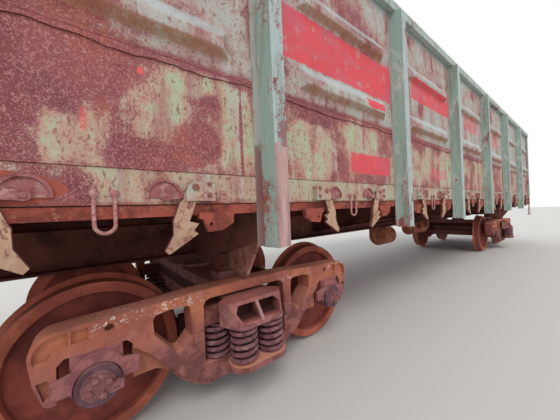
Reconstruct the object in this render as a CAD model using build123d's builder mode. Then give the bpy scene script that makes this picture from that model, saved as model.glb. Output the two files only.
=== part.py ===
from build123d import *
import os

os.makedirs("parts", exist_ok=True)

# An open wagon for loose loads, with a floor of fourteen drop hatches, on two cast bogies.
# X runs along the wagon, Y across it and Z up. The origin is under the wagon's middle, at the
# level of the wheel flanges' lowest points, and the rail head is RAIL_Z above it.
# All sizes are in millimetres. A place written as (y, z) or (x, z) is in the wagon's own frame,
# and an outline that starts with u or w is measured along X from its own hatch or bogie.

# Wheels and axles
RAIL_Z = 28.0  # rail head, so also the height of a wheel flange
TREAD_R = 475.0
WHEEL_BACKS = 1440.0  # between the backs of the two wheels of an axle
RIM_W = 130.0
RIM_DEPTH = 67.0  # rim thickness under the tread
HUB_R = 132.0
SEAT_R = 97.0  # axle radius in the wheel
JOURNAL_R = 65.0
AXLE_R = 82.5
AXLE_HALF = 1120.0
AXLE_Z = RAIL_Z + TREAD_R

# Bogies
WHEELBASE = 1850.0
FRAME_Y = 1018.0  # middle of a side frame
FRAME_W = 152.0
FRAME_TOP_Z = RAIL_Z + 822.0
FRAME_FOOT_Z = RAIL_Z + 155.0
SEAT_Z = RAIL_Z + 320.0  # top of the spring seat
SPRING_H = 236.0
SPRING_R = 99.0
SPRING_ROW = 195.0  # between the rows of a spring group, along Y
SPRING_STEP = 225.0  # between the springs of a row
SPRING_LIP = 12.0  # how far the outer springs stand past the bolster's ends
BOLSTER_TOP_Z = RAIL_Z + 790.0
SEATING = 0.3  # gap of a piece that rests or turns on another

# Underframe
POST_PITCH = 1730.0
WALL_Y = 1455.0  # outer face of the side sheets
SHEET_T = 6.0
FLOOR_Z = RAIL_Z + 1414.0  # top of a closed hatch lid
CAP_T = 12.0
CAP_Z = FLOOR_Z + 6.0 + CAP_T  # top of the cross members
SILL_Z = RAIL_Z + 940.0
SILL_H = 310.0
SILL_IN = 165.0  # inner face of a sill web
SILL_T = 12.0
SILL_FOOT = 300.0
SILL_FOOT_T = 16.0
SPINE_FOOT = 70.0  # half width of the spine's lower flange
SPINE_CAP = 75.0
SPINE_WEB = 10.0
CHORD_Z = RAIL_Z + 1390.0
CHORD_H = 165.0
CHORD_T = 10.0
CHORD_LEG = 70.0
END_DECK = 301.0  # from the inside of the end wall to the outer face of the end beam
END_T = 10.0
PIPE_FLAT = 18.5  # half width of the train pipe, beside the sill's foot
PIPE_Y = SILL_FOOT + PIPE_FLAT
PIPE_Z = SILL_Z - 4.0
COUPLER_Z = RAIL_Z + 1060.0
COUPLER_REACH = 600.0  # from the end beam to the pulling face
SHANK = 170.0  # square shank of a coupler

# Body
TOP_Z = RAIL_Z + 3484.0
RAIL_H = 104.0
RAIL_OUT = 60.0  # top rail's overhang past the sheets
LAP_Z = RAIL_Z + 2090.0  # joint of the lower and upper sheets
POST_FOOT_Z = RAIL_Z + 1120.0
POST_DEPTH = 112.0
POST_FLANGE = 124.0
PRESS_DEPTH = 50.0  # how far a pressed ridge stands out of the sheet

# Hatches
LID_T = 8.0
LID_GAP = 95.0  # from a cross beam's middle to the lid beside it
BOLSTER_GAP = 120.0  # from a bolster beam's middle to the end lid
END_GAP = 74.0  # from the end lid to the inside of the end wall
LID_IN = 100.0
LID_CLEAR = 6.0  # from the lid's outer edge to the outside of the sheets
LID_STEP = 30.0  # how far the lid's outer edge is set down under the bottom rail
HINGE_Y = 108.0
HINGE_Z = RAIL_Z + 1365.0
HINGE_U = 450.0

# Places worked out from the sizes above
PIVOT_X = 2.5 * POST_PITCH
LID_L = POST_PITCH - 2 * LID_GAP
END_BAY = BOLSTER_GAP + LID_L + END_GAP
WALL_X = PIVOT_X + END_BAY
END_OUT = WALL_X + END_DECK
COUPLER_FACE = END_OUT + COUPLER_REACH
POST_X = [(i - 2.5) * POST_PITCH for i in range(6)]
END_LID_X = PIVOT_X + BOLSTER_GAP + LID_L / 2
LID_X = [-END_LID_X, -2 * POST_PITCH, -POST_PITCH, 0.0, POST_PITCH, 2 * POST_PITCH, END_LID_X]
SILL_TOP = SILL_Z + SILL_H
SILL_OUT = SILL_IN + SILL_T
CAP_UNDER = CAP_Z - CAP_T
CHORD_TOP = CHORD_Z + CHORD_H
RAIL_UNDER = TOP_Z - RAIL_H
LID_OUT = WALL_Y - LID_CLEAR
BEAM_OUT = WALL_Y - CHORD_T
CHORD_IN = BEAM_OUT - CHORD_LEG
SPRING_TOP = SEAT_Z + SPRING_H
AXLE_X = WHEELBASE / 2
BOLSTER_HALF = FRAME_Y + SPRING_ROW + SPRING_R - SPRING_LIP
ENDS = (-1, 1)


def save(piece, name):
    piece.part.label = name
    export_step(piece.part, f"parts/{name}.step")


# Centre sill: two Z bars, closed above by a low I beam that carries the hatch hinges.
SILL_HALF = [
    (0, SILL_TOP - SILL_FOOT_T),
    (SILL_IN, SILL_TOP - SILL_FOOT_T),
    (SILL_IN, SILL_Z),
    (SILL_FOOT, SILL_Z),
    (SILL_FOOT, SILL_Z + SILL_FOOT_T),
    (SILL_OUT, SILL_Z + SILL_FOOT_T),
    (SILL_OUT, SILL_TOP),
    (SPINE_FOOT, SILL_TOP),
    (SPINE_FOOT, SILL_TOP + CAP_T),
    (SPINE_WEB / 2, SILL_TOP + CAP_T),
    (SPINE_WEB / 2, CAP_UNDER),
    (SPINE_CAP, CAP_UNDER),
    (SPINE_CAP, CAP_Z),
    (0, CAP_Z),
]
with BuildPart() as centre_sill:
    with BuildSketch(Plane.YZ):
        Polygon(*SILL_HALF)
        mirror(about=Plane.YZ)
    extrude(amount=END_OUT - END_T, both=True)
save(centre_sill, "centre_sill")

# End beams: a front plate with the coupler's opening and frame, a deck, a rear web, side
# plates and a sloping foot.
END_WEB_X = WALL_X - 64.0
STRIKER_W = 420.0  # frame round the coupler's opening
END_FOOT = [(SILL_OUT, SILL_Z + 60.0), (BEAM_OUT, SILL_Z + 260.0)]
END_FRONT_HALF = [
    (0, SILL_Z - 40.0),
    (420.0, SILL_Z - 40.0),
    (620.0, END_FOOT[0][1]),
    (WALL_Y, END_FOOT[1][1]),
    (WALL_Y, CAP_Z),
    (0, CAP_Z),
]
with BuildPart() as end_beams:
    with BuildSketch(Plane.YZ.offset(END_OUT - END_T)):
        Polygon(*END_FRONT_HALF)
        with Locations((0, COUPLER_Z)):
            Rectangle(300.0, 260.0, mode=Mode.SUBTRACT)
        with Locations((PIPE_Y, PIPE_Z)):
            Rectangle(60.0, 60.0, mode=Mode.SUBTRACT)
    extrude(amount=END_T)
    with BuildSketch(Plane.XZ.offset(-BEAM_OUT)):
        Polygon(
            (END_WEB_X, END_FOOT[1][1]),
            (END_WEB_X, CAP_Z),
            (END_OUT - END_T, CAP_Z),
            (END_OUT - END_T, END_FOOT[1][1]),
        )
    extrude(amount=-CHORD_T)
    with BuildSketch(Plane.YZ.offset(END_WEB_X)):
        Polygon(
            END_FOOT[0],
            END_FOOT[1],
            (BEAM_OUT, CHORD_Z),
            (CHORD_IN, CHORD_Z),
            (CHORD_IN, CAP_UNDER),
            (SPINE_CAP, CAP_UNDER),
            (SPINE_CAP, SILL_TOP),
            (SILL_OUT, SILL_TOP),
        )
    extrude(amount=END_T)
    with BuildSketch(Plane.YZ.offset(END_WEB_X)):
        Polygon(
            END_FOOT[0],
            END_FOOT[1],
            (BEAM_OUT, END_FOOT[1][1] + END_T),
            (SILL_OUT, END_FOOT[0][1] + END_T),
        )
    extrude(amount=END_OUT - END_T - END_WEB_X)
    with BuildSketch(Plane.YZ.offset(END_WEB_X - 25.0)):
        Polygon(
            (SPINE_CAP, CAP_UNDER), (BEAM_OUT, CAP_UNDER), (BEAM_OUT, CAP_Z), (SPINE_CAP, CAP_Z)
        )
    extrude(amount=END_OUT - END_T - END_WEB_X + 25.0)
    mirror(about=Plane.XZ)
    with BuildSketch(Plane.YZ.offset(END_OUT)):
        with Locations((0, COUPLER_Z)):
            Rectangle(STRIKER_W, 340.0)
            Rectangle(300.0, SHANK + 2 * SEATING, mode=Mode.SUBTRACT)
    extrude(amount=90.0)
    mirror(about=Plane.YZ)
save(end_beams, "end_beams")

# Cross beams under the four middle posts: a web, a sloping foot and a cap that the lids close to.
BEAM_FOOT = [(SILL_OUT, SILL_Z + 60.0), (WALL_Y, SILL_Z + 260.0)]
BEAM_FOOT_T = 12.0
BEAM_HALF_W = 60.0
BEAM_CAP_W = LID_GAP + 15.0
BEAM_WEB = [
    BEAM_FOOT[0],
    BEAM_FOOT[1],
    (WALL_Y, CHORD_Z),
    (CHORD_IN, CHORD_Z),
    (CHORD_IN, CAP_UNDER),
    (SPINE_CAP, CAP_UNDER),
    (SPINE_CAP, SILL_TOP),
    (SILL_OUT, SILL_TOP),
]
BEAM_CAP = [
    (SPINE_CAP, CAP_UNDER),
    (BEAM_OUT, CAP_UNDER),
    (BEAM_OUT, CAP_Z),
    (SPINE_CAP, CAP_Z),
]
with BuildPart() as cross_beams:
    for x in POST_X[1:5]:
        with BuildSketch(Plane.YZ.offset(x - SHEET_T)):
            Polygon(*BEAM_WEB)
        extrude(amount=2 * SHEET_T)
        with BuildSketch(Plane.YZ.offset(x - BEAM_HALF_W)):
            Polygon(*BEAM_FOOT, *[(y, z + BEAM_FOOT_T) for y, z in reversed(BEAM_FOOT)])
        extrude(amount=2 * BEAM_HALF_W)
        with BuildSketch(Plane.YZ.offset(x - BEAM_CAP_W)):
            Polygon(*BEAM_CAP)
        extrude(amount=2 * BEAM_CAP_W)
    mirror(about=Plane.XZ)
save(cross_beams, "cross_beams")

# Bolster beams over the bogies: closed boxes that taper outwards, and the pivot casting.
ARM_HALF_W = LID_GAP - 10.0
ARM_CAP_W = BOLSTER_GAP + 15.0
ARM_KNEE = (640.0, SILL_Z + SILL_FOOT_T)
ARM_TIP = (WALL_Y, SILL_Z + 235.0)
PIVOT_R = 150.0
PIVOT_FOOT_Z = BOLSTER_TOP_Z + 25.0 + SEATING
BEARER_Y = 762.0
BEARER_W = 130.0
BEARER_GAP = 12.0
BEARER_TOP = BOLSTER_TOP_Z + 60.0
with BuildPart() as bolster_beams:
    with BuildSketch(Plane.YZ.offset(PIVOT_X - ARM_HALF_W)):
        Polygon((SILL_OUT, ARM_KNEE[1]), ARM_KNEE, ARM_TIP, *BEAM_WEB[2:])
    extrude(amount=2 * ARM_HALF_W)
    with BuildSketch(Plane.YZ.offset(PIVOT_X - ARM_CAP_W)):
        Polygon(*BEAM_CAP)
    extrude(amount=2 * ARM_CAP_W)
    with BuildSketch(Plane.XY.offset(BEARER_TOP + BEARER_GAP)):
        with Locations((PIVOT_X, BEARER_Y)):
            Rectangle(2 * ARM_HALF_W, BEARER_W)
    extrude(amount=ARM_KNEE[1] + 40.0 - BEARER_TOP - BEARER_GAP)
    mirror(about=Plane.XZ)
    with BuildSketch(Plane.XY.offset(PIVOT_FOOT_Z)):
        with Locations((PIVOT_X, 0)):
            Circle(PIVOT_R)
    extrude(amount=SILL_Z - PIVOT_FOOT_Z)
    with BuildSketch(Plane.XY.offset(SILL_Z - 16.0)):
        with Locations((PIVOT_X, 0)):
            Rectangle(440.0, 2 * SILL_FOOT)
    extrude(amount=16.0)
    mirror(about=Plane.YZ)
save(bolster_beams, "bolster_beams")

# Pointed jacking plates, crosswise under the bolster beams and over the side frames.
PLATE_T = 28.0
PLATE_IN = BEARER_Y + BEARER_W / 2
PLATE_TIP_Z = FRAME_TOP_Z + 12.0
ARM_SLOPE = (ARM_TIP[1] - ARM_KNEE[1]) / (ARM_TIP[0] - ARM_KNEE[0])


def arm_under(y):
    """Height of the bolster beam's sloping underside at y."""
    return ARM_KNEE[1] + ARM_SLOPE * (y - ARM_KNEE[0])


with BuildPart() as jacking_plates:
    with BuildSketch(Plane.YZ.offset(PIVOT_X - PLATE_T / 2)):
        Polygon(
            (PLATE_IN, arm_under(PLATE_IN)),
            (PLATE_IN, PLATE_TIP_Z + 72.0),
            (FRAME_Y - 55.0, PLATE_TIP_Z),
            (FRAME_Y + 72.0, PLATE_TIP_Z),
            (FRAME_Y + 271.0, arm_under(FRAME_Y + 271.0)),
        )
    extrude(amount=PLATE_T)
    mirror(about=Plane.XZ)
    mirror(about=Plane.YZ)
save(jacking_plates, "jacking_plates")

# Bottom rails: angles along both sides, from end beam to end beam.
with BuildPart() as bottom_rails:
    with BuildSketch(Plane.YZ):
        Polygon(
            (CHORD_IN, CHORD_Z),
            (WALL_Y, CHORD_Z),
            (WALL_Y, CHORD_TOP),
            (BEAM_OUT, CHORD_TOP),
            (BEAM_OUT, CHORD_Z + CHORD_T),
            (CHORD_IN, CHORD_Z + CHORD_T),
        )
    extrude(amount=WALL_X - 90.0, both=True)
    mirror(about=Plane.XZ)
save(bottom_rails, "bottom_rails")

# Side sheets: a plain lower one, and an upper one with two pressed ridges in each bay.
with BuildPart() as lower_sheets:
    with BuildSketch(Plane.XZ.offset(WALL_Y - SHEET_T)):
        with Locations((0, (CHORD_TOP + LAP_Z) / 2)):
            Rectangle(2 * WALL_X, LAP_Z - CHORD_TOP)
    extrude(amount=SHEET_T)
    mirror(about=Plane.XZ)
save(lower_sheets, "lower_sheets")

BAY_HALF = POST_PITCH / 2 - POST_FLANGE
END_BAY_X = (PIVOT_X + POST_FLANGE + WALL_X) / 2
END_BAY_HALF = (WALL_X - PIVOT_X - POST_FLANGE) / 2
PRESS_MARGIN = 146.0  # from a post's flange to the end of a ridge
RIDGE_SLOPE = 75.0  # length of a ridge's sloping end
# a ridge's foot, its crest from below and above, and its top
RIDGES = [
    (RAIL_Z + 2200.0, RAIL_Z + 2245.0, RAIL_Z + 2280.0, RAIL_Z + 2400.0),
    (RAIL_Z + 2785.0, RAIL_Z + 2825.0, RAIL_Z + 2860.0, RAIL_Z + 2975.0),
]
BAYS = [(-END_BAY_X, END_BAY_HALF)] + [(x, BAY_HALF) for x in LID_X[1:6]] + [(END_BAY_X, END_BAY_HALF)]
RIDGE_ENDS = [x + end * (half - PRESS_MARGIN) for x, half in BAYS for end in ENDS]
GAP_STARTS = [-WALL_X] + RIDGE_ENDS[1::2]
GAP_ENDS = RIDGE_ENDS[0::2] + [WALL_X]

with BuildPart() as ridges:
    with BuildSketch(Plane.YZ):
        for low, crest_low, crest_high, high in RIDGES:
            Polygon(
                (WALL_Y, low),
                (WALL_Y + PRESS_DEPTH, crest_low),
                (WALL_Y + PRESS_DEPTH, crest_high),
                (WALL_Y, high),
            )
    extrude(amount=WALL_X, both=True)
    with BuildSketch(Plane.XY.offset(LAP_Z)):
        for start, end in zip(GAP_STARTS, GAP_ENDS):
            Polygon(
                (start, WALL_Y),
                (end, WALL_Y),
                (end + 2 * RIDGE_SLOPE, WALL_Y + 2 * PRESS_DEPTH),
                (start - 2 * RIDGE_SLOPE, WALL_Y + 2 * PRESS_DEPTH),
            )
    extrude(amount=RAIL_UNDER - LAP_Z, mode=Mode.SUBTRACT)

with BuildPart() as upper_sheets:
    with BuildSketch(Plane.XZ.offset(-WALL_Y)):
        with Locations((0, (LAP_Z + RAIL_UNDER) / 2)):
            Rectangle(2 * WALL_X, RAIL_UNDER - LAP_Z)
    extrude(amount=SHEET_T)
    add(ridges.part)
    add(ridges.part.moved(Location((0, -SHEET_T, 0))), mode=Mode.SUBTRACT)
    mirror(about=Plane.XZ)
save(upper_sheets, "upper_sheets")

# Side posts: pressed hat sections over the sheets, closed by a lip at the foot.
HAT = [
    (-POST_FLANGE, 0),
    (-POST_FLANGE, 8.0),
    (-76.0, 8.0),
    (-49.0, POST_DEPTH),
    (49.0, POST_DEPTH),
    (76.0, 8.0),
    (POST_FLANGE, 8.0),
    (POST_FLANGE, 0),
    (68.0, 0),
    (42.0, POST_DEPTH - 8.0),
    (-42.0, POST_DEPTH - 8.0),
    (-68.0, 0),
]
LIP_T = 8.0
with BuildPart() as side_posts:
    with BuildSketch(Plane.XY.offset(POST_FOOT_Z)):
        with Locations([(x, WALL_Y) for x in POST_X]):
            Polygon(*HAT)
    extrude(amount=RAIL_UNDER - POST_FOOT_Z)
    with BuildSketch(Plane.XY.offset(POST_FOOT_Z - LIP_T)):
        with Locations([(x, WALL_Y) for x in POST_X]):
            Polygon((-80.0, 0), (-53.0, POST_DEPTH + 4.0), (53.0, POST_DEPTH + 4.0), (80.0, 0))
    extrude(amount=LIP_T)
    mirror(about=Plane.XZ)
save(side_posts, "side_posts")

# Corner posts: bent plates round the corners, on the end beams' decks.
CORNER_OUT = 45.0
CORNER_IN = 75.0
CORNER_DEPTH = 75.0
END_FACE = WALL_X + SHEET_T
with BuildPart() as corner_posts:
    with BuildSketch(Plane.XY.offset(CAP_Z)):
        Polygon(
            (END_FACE - 65.0, WALL_Y),
            (END_FACE, WALL_Y),
            (END_FACE, WALL_Y - CORNER_IN),
            (END_FACE + CORNER_DEPTH, WALL_Y - CORNER_IN),
            (END_FACE + CORNER_DEPTH, WALL_Y + CORNER_OUT - 15.0),
            (END_FACE + CORNER_DEPTH - 15.0, WALL_Y + CORNER_OUT),
            (END_FACE - 65.0, WALL_Y + CORNER_OUT),
        )
    extrude(amount=RAIL_UNDER - CAP_Z)
    mirror(about=Plane.XZ)
    mirror(about=Plane.YZ)
save(corner_posts, "corner_posts")

# End walls: a sheet at each end, between the corner posts and under the top rails.
with BuildPart() as end_walls:
    with BuildSketch(Plane.YZ.offset(WALL_X)):
        with Locations((0, (CAP_Z + RAIL_UNDER) / 2)):
            Rectangle(2 * WALL_Y, RAIL_UNDER - CAP_Z)
    extrude(amount=SHEET_T)
    mirror(about=Plane.YZ)
save(end_walls, "end_walls")

# End posts and ribs: two hat posts on each end wall, with level ribs between them.
END_POST_Y = 480.0
END_POST_HALF = 100.0
END_POST_DEPTH = 75.0
END_HAT = [
    (0, -END_POST_HALF),
    (SHEET_T, -END_POST_HALF),
    (SHEET_T, -60.0),
    (END_POST_DEPTH, -40.0),
    (END_POST_DEPTH, 40.0),
    (SHEET_T, 60.0),
    (SHEET_T, END_POST_HALF),
    (0, END_POST_HALF),
    (0, 54.0),
    (END_POST_DEPTH - SHEET_T, 36.0),
    (END_POST_DEPTH - SHEET_T, -36.0),
    (0, -54.0),
]
RIB_Z = [RAIL_Z + 1850.0, RAIL_Z + 2330.0, RAIL_Z + 2850.0]
RIB_DEPTH = 50.0
RIB_SPANS = [
    (END_POST_HALF - END_POST_Y, END_POST_Y - END_POST_HALF),
    (END_POST_Y + END_POST_HALF, WALL_Y - CORNER_IN),
    (CORNER_IN - WALL_Y, -END_POST_Y - END_POST_HALF),
]
with BuildPart() as end_stiffeners:
    with BuildSketch(Plane.XY.offset(CAP_Z)):
        with Locations((END_FACE, END_POST_Y), (END_FACE, -END_POST_Y)):
            Polygon(*END_HAT)
    extrude(amount=RAIL_UNDER - CAP_Z)
    for start, end in RIB_SPANS:
        with BuildSketch(Plane.XZ.offset(-start)):
            for z in RIB_Z:
                Polygon(
                    (END_FACE, z - 70.0),
                    (END_FACE + RIB_DEPTH, z - 45.0),
                    (END_FACE + RIB_DEPTH, z + 45.0),
                    (END_FACE, z + 70.0),
                )
        extrude(amount=start - end)
    mirror(about=Plane.YZ)
save(end_stiffeners, "end_stiffeners")

# Top rails: closed bent sections round the rim, overhanging the side sheets.
RAIL_END = END_FACE + CORNER_DEPTH + 10.0
RAIL_IN = WALL_Y - SHEET_T
with BuildPart() as side_top_rails:
    with BuildSketch(Plane.YZ):
        Polygon(
            (RAIL_IN, RAIL_UNDER),
            (WALL_Y + RAIL_OUT, RAIL_UNDER),
            (WALL_Y + RAIL_OUT, TOP_Z - 12.0),
            (WALL_Y + RAIL_OUT - 12.0, TOP_Z),
            (RAIL_IN, TOP_Z),
        )
    extrude(amount=RAIL_END, both=True)
    mirror(about=Plane.XZ)
save(side_top_rails, "side_top_rails")

with BuildPart() as end_top_rails:
    with BuildSketch(Plane.XZ):
        Polygon(
            (WALL_X, RAIL_UNDER),
            (RAIL_END, RAIL_UNDER),
            (RAIL_END, TOP_Z - 12.0),
            (RAIL_END - 12.0, TOP_Z),
            (WALL_X, TOP_Z),
        )
    extrude(amount=RAIL_IN, both=True)
    mirror(about=Plane.YZ)
save(end_top_rails, "end_top_rails")

# Hatch lids: a plate with turned-down ends, set down at its outer edge to pass under the
# bottom rail, with an edge strip, two catch lugs and two hinge cheeks.
LUG_W = 40.0  # hinge lug on the sill
CHEEK_W = 12.0
EDGE_Z = FLOOR_Z - LID_STEP
STRIP_Z = RAIL_Z + 1330.0
LID_SECTION = [
    (LID_IN, FLOOR_Z),
    (CHORD_IN - 50.0, FLOOR_Z),
    (CHORD_IN - 12.0, EDGE_Z),
    (LID_OUT, EDGE_Z),
    (LID_OUT, STRIP_Z),
    (LID_OUT - LID_T, STRIP_Z),
    (LID_OUT - LID_T, EDGE_Z - LID_T),
    (CHORD_IN - 16.0, EDGE_Z - LID_T),
    (CHORD_IN - 54.0, FLOOR_Z - LID_T),
    (LID_IN, FLOOR_Z - LID_T),
]
RIM_Z = FLOOR_Z - 48.0
CHEEK = [
    (LID_IN, FLOOR_Z - LID_T),
    (HINGE_Y + 45.0, FLOOR_Z - LID_T),
    (HINGE_Y + 20.0, HINGE_Z - 16.0),
    (HINGE_Y - 18.0, HINGE_Z - 20.0),
    (HINGE_Y - 20.0, HINGE_Z + 12.0),
]
PIN_R = 10.0
# catch lug, as (u, z)
LUG_Y = 1480.0
CATCH_LUG = [
    (400.0, STRIP_Z),
    (400.0, STRIP_Z - 20.0),
    (420.0, STRIP_Z - 22.0),
    (444.0, STRIP_Z - 92.0),
    (528.0, STRIP_Z - 85.0),
    (591.0, STRIP_Z - 50.0),
    (600.0, STRIP_Z + 12.0),
    (400.0, STRIP_Z + 12.0),
]
LUG_HOLE_U = 462.0
LUG_HOLE_Z = STRIP_Z - 50.0
LUG_HOLE_R = 10.0
for side, side_name in ((-1, "near"), (1, "far")):
    for number, lid_x in enumerate(LID_X, start=1):
        with BuildPart() as lid:
            with BuildSketch(Plane.YZ.offset(lid_x - LID_L / 2)):
                Polygon(*[(side * y, z) for y, z in LID_SECTION])
            extrude(amount=LID_L)
            for end in ENDS:
                with BuildSketch(Plane.YZ.offset(lid_x + end * LID_L / 2)):
                    Polygon(
                        (side * (LID_IN + 10.0), FLOOR_Z - LID_T),
                        (side * (LID_IN + 10.0), RIM_Z),
                        (side * (LID_OUT - LID_T), RIM_Z),
                        (side * (LID_OUT - LID_T), EDGE_Z - LID_T),
                        (side * (CHORD_IN - 16.0), EDGE_Z - LID_T),
                        (side * (CHORD_IN - 54.0), FLOOR_Z - LID_T),
                    )
                extrude(amount=-end * LID_T)
                with BuildSketch(Plane.YZ.offset(lid_x + end * (HINGE_U + LUG_W / 2 + SEATING))):
                    Polygon(*[(side * y, z) for y, z in CHEEK])
                    with Locations((side * HINGE_Y, HINGE_Z)):
                        Circle(PIN_R + SEATING, mode=Mode.SUBTRACT)
                extrude(amount=end * CHEEK_W)
            with BuildSketch(Plane.XZ.offset(-side * LID_OUT)):
                for end in ENDS:
                    Polygon(*[(lid_x + end * u, z) for u, z in CATCH_LUG])
                with Locations((lid_x - LUG_HOLE_U, LUG_HOLE_Z), (lid_x + LUG_HOLE_U, LUG_HOLE_Z)):
                    Circle(LUG_HOLE_R, mode=Mode.SUBTRACT)
            extrude(amount=-side * (LUG_Y - LID_OUT))
        save(lid, f"lid_{side_name}_{number}")

# Hinge lugs on the spine's web, with the pins that carry the lids' cheeks.
HINGE_LUG = [
    (SPINE_WEB / 2, HINGE_Z - 70.0),
    (SPINE_WEB / 2, HINGE_Z + 35.0),
    (HINGE_Y, HINGE_Z + 25.0),
    (HINGE_Y + 22.0, HINGE_Z + 12.0),
    (HINGE_Y + 22.0, HINGE_Z - 12.0),
    (HINGE_Y, HINGE_Z - 25.0),
]
with BuildPart() as hinge_lugs:
    for lid_x in LID_X:
        for end in ENDS:
            with BuildSketch(Plane.YZ.offset(lid_x + end * HINGE_U - LUG_W / 2)):
                Polygon(*HINGE_LUG)
            extrude(amount=LUG_W)
            with BuildSketch(Plane.YZ.offset(lid_x + end * (HINGE_U + LUG_W / 2))):
                with Locations((HINGE_Y, HINGE_Z)):
                    Circle(PIN_R)
            extrude(amount=end * (CHEEK_W + 8.0))
    mirror(about=Plane.XZ)
save(hinge_lugs, "hinge_lugs")

# Latches: a hook with two teeth that takes the lid's lug, its bolted bracket and a sector.
# Outlines as (u, z), u from the middle of the hatch.
HOOK_Y = 1462.0
BRACKET_Y = 1486.0
BRACKET_T = 10.0
SECTOR_T = 15.0
HOOK = [
    (302.0, RAIL_Z + 1396.0),
    (323.0, RAIL_Z + 1416.0),
    (323.0, RAIL_Z + 1440.0),
    (346.0, RAIL_Z + 1475.0),
    (410.0, RAIL_Z + 1475.0),
    (381.0, RAIL_Z + 1393.0),
    (345.0, RAIL_Z + 1300.0),
    (394.0, RAIL_Z + 1287.0),
    (365.0, RAIL_Z + 1254.0),
    (388.0, RAIL_Z + 1235.0),
    (245.0, RAIL_Z + 1147.0),
    (228.0, RAIL_Z + 1165.0),
    (268.0, RAIL_Z + 1240.0),
    (270.0, RAIL_Z + 1310.0),
]
BRACKET = [
    (331.0, RAIL_Z + 1403.0),
    (331.0, RAIL_Z + 1450.0),
    (350.0, RAIL_Z + 1488.0),
    (385.0, RAIL_Z + 1500.0),
    (483.0, RAIL_Z + 1500.0),
    (483.0, RAIL_Z + 1403.0),
]
BRACKET_PAD = [(447.0, RAIL_Z + 1403.0), (447.0, RAIL_Z + 1500.0)] + BRACKET[4:]
SECTOR_R = 81.0
SECTOR_U = 238.0
SECTOR_Z = RAIL_Z + 1430.0
HANDS = [(lid_x, hand) for lid_x in LID_X for hand in ENDS]

with BuildPart() as latch_hooks:
    with BuildSketch(Plane.XZ.offset(HOOK_Y)):
        for lid_x, hand in HANDS:
            Polygon(*[(lid_x + hand * u, z) for u, z in HOOK])
    extrude(amount=BRACKET_Y - SEATING - HOOK_Y)
    mirror(about=Plane.XZ)
save(latch_hooks, "latch_hooks")

with BuildPart() as latch_brackets:
    with BuildSketch(Plane.XZ.offset(BRACKET_Y)):
        for lid_x, hand in HANDS:
            Polygon(*[(lid_x + hand * u, z) for u, z in BRACKET])
    extrude(amount=BRACKET_T)
    with BuildSketch(Plane.XZ.offset(WALL_Y)):
        for lid_x, hand in HANDS:
            Polygon(*[(lid_x + hand * u, z) for u, z in BRACKET_PAD])
    extrude(amount=BRACKET_Y - WALL_Y)
    mirror(about=Plane.XZ)
save(latch_brackets, "latch_brackets")

with BuildPart() as latch_sectors:
    with BuildSketch(Plane.XZ.offset(WALL_Y)):
        with Locations([(lid_x + hand * SECTOR_U, SECTOR_Z) for lid_x, hand in HANDS]):
            Circle(SECTOR_R)
        with Locations((0, SECTOR_Z - SECTOR_R)):
            Rectangle(2 * WALL_X, 2 * SECTOR_R - 20.0, mode=Mode.SUBTRACT)
    extrude(amount=SECTOR_T)
    mirror(about=Plane.XZ)
save(latch_sectors, "latch_sectors")

# Lashing loops: a U-shaped rod at the middle of each hatch, hanging past the bottom rail.
ROD = 16.0
LOOP_HALF = 45.0
LOOP_TOP = RAIL_Z + 1440.0
LOOP_FOOT = RAIL_Z + 1262.0
LOOP_BEND = 44.0  # height of the bent foot
LOOP_OUTER = [(12.0, LOOP_FOOT), (34.0, LOOP_FOOT + 14.0), (LOOP_HALF, LOOP_FOOT + LOOP_BEND)]
LOOP_INNER = [(LOOP_HALF - ROD, LOOP_FOOT + LOOP_BEND), (22.0, LOOP_FOOT + 26.0), (7.0, LOOP_FOOT + ROD)]
LOOP_RIGHT = LOOP_OUTER + LOOP_INNER
LOOP_BASE = LOOP_RIGHT + [(-u, z) for u, z in reversed(LOOP_RIGHT)]
LEG_Z = (LOOP_FOOT + LOOP_BEND + SEATING + LOOP_TOP) / 2
LEG_H = LOOP_TOP - LOOP_FOOT - LOOP_BEND - SEATING
with BuildPart() as lashing_loops:
    with BuildSketch(Plane.XZ.offset(WALL_Y)):
        for lid_x in LID_X:
            Polygon(*[(lid_x + u, z) for u, z in LOOP_BASE])
            with Locations((lid_x - LOOP_HALF + ROD / 2, LEG_Z), (lid_x + LOOP_HALF - ROD / 2, LEG_Z)):
                Rectangle(ROD, LEG_H)
    extrude(amount=ROD)
    mirror(about=Plane.XZ)
save(lashing_loops, "lashing_loops")

# Couplers: a head with its large and small tooth on a square shank that runs into the sill.
HEAD_H = 300.0
# the head from above, as (x back from the pulling face, y)
HEAD = [
    (-420.0, -95.0),
    (-300.0, -190.0),
    (-150.0, -230.0),
    (-20.0, -215.0),
    (-60.0, -120.0),
    (-190.0, -90.0),
    (-190.0, 10.0),
    (-40.0, 60.0),
    (95.0, 40.0),
    (110.0, 110.0),
    (20.0, 200.0),
    (-150.0, 220.0),
    (-300.0, 170.0),
    (-420.0, 95.0),
]
with BuildPart() as couplers:
    with BuildSketch(Plane.YZ.offset(PIVOT_X + 600.0)):
        with Locations((0, COUPLER_Z)):
            Rectangle(SHANK, SHANK)
    extrude(amount=COUPLER_FACE - 400.0 - PIVOT_X - 600.0)
    with BuildSketch(Plane.XY.offset(COUPLER_Z - HEAD_H / 2)):
        Polygon(*[(COUPLER_FACE + x, y) for x, y in HEAD])
    extrude(amount=HEAD_H)
    mirror(about=Plane.YZ)
save(couplers, "couplers")

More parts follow.
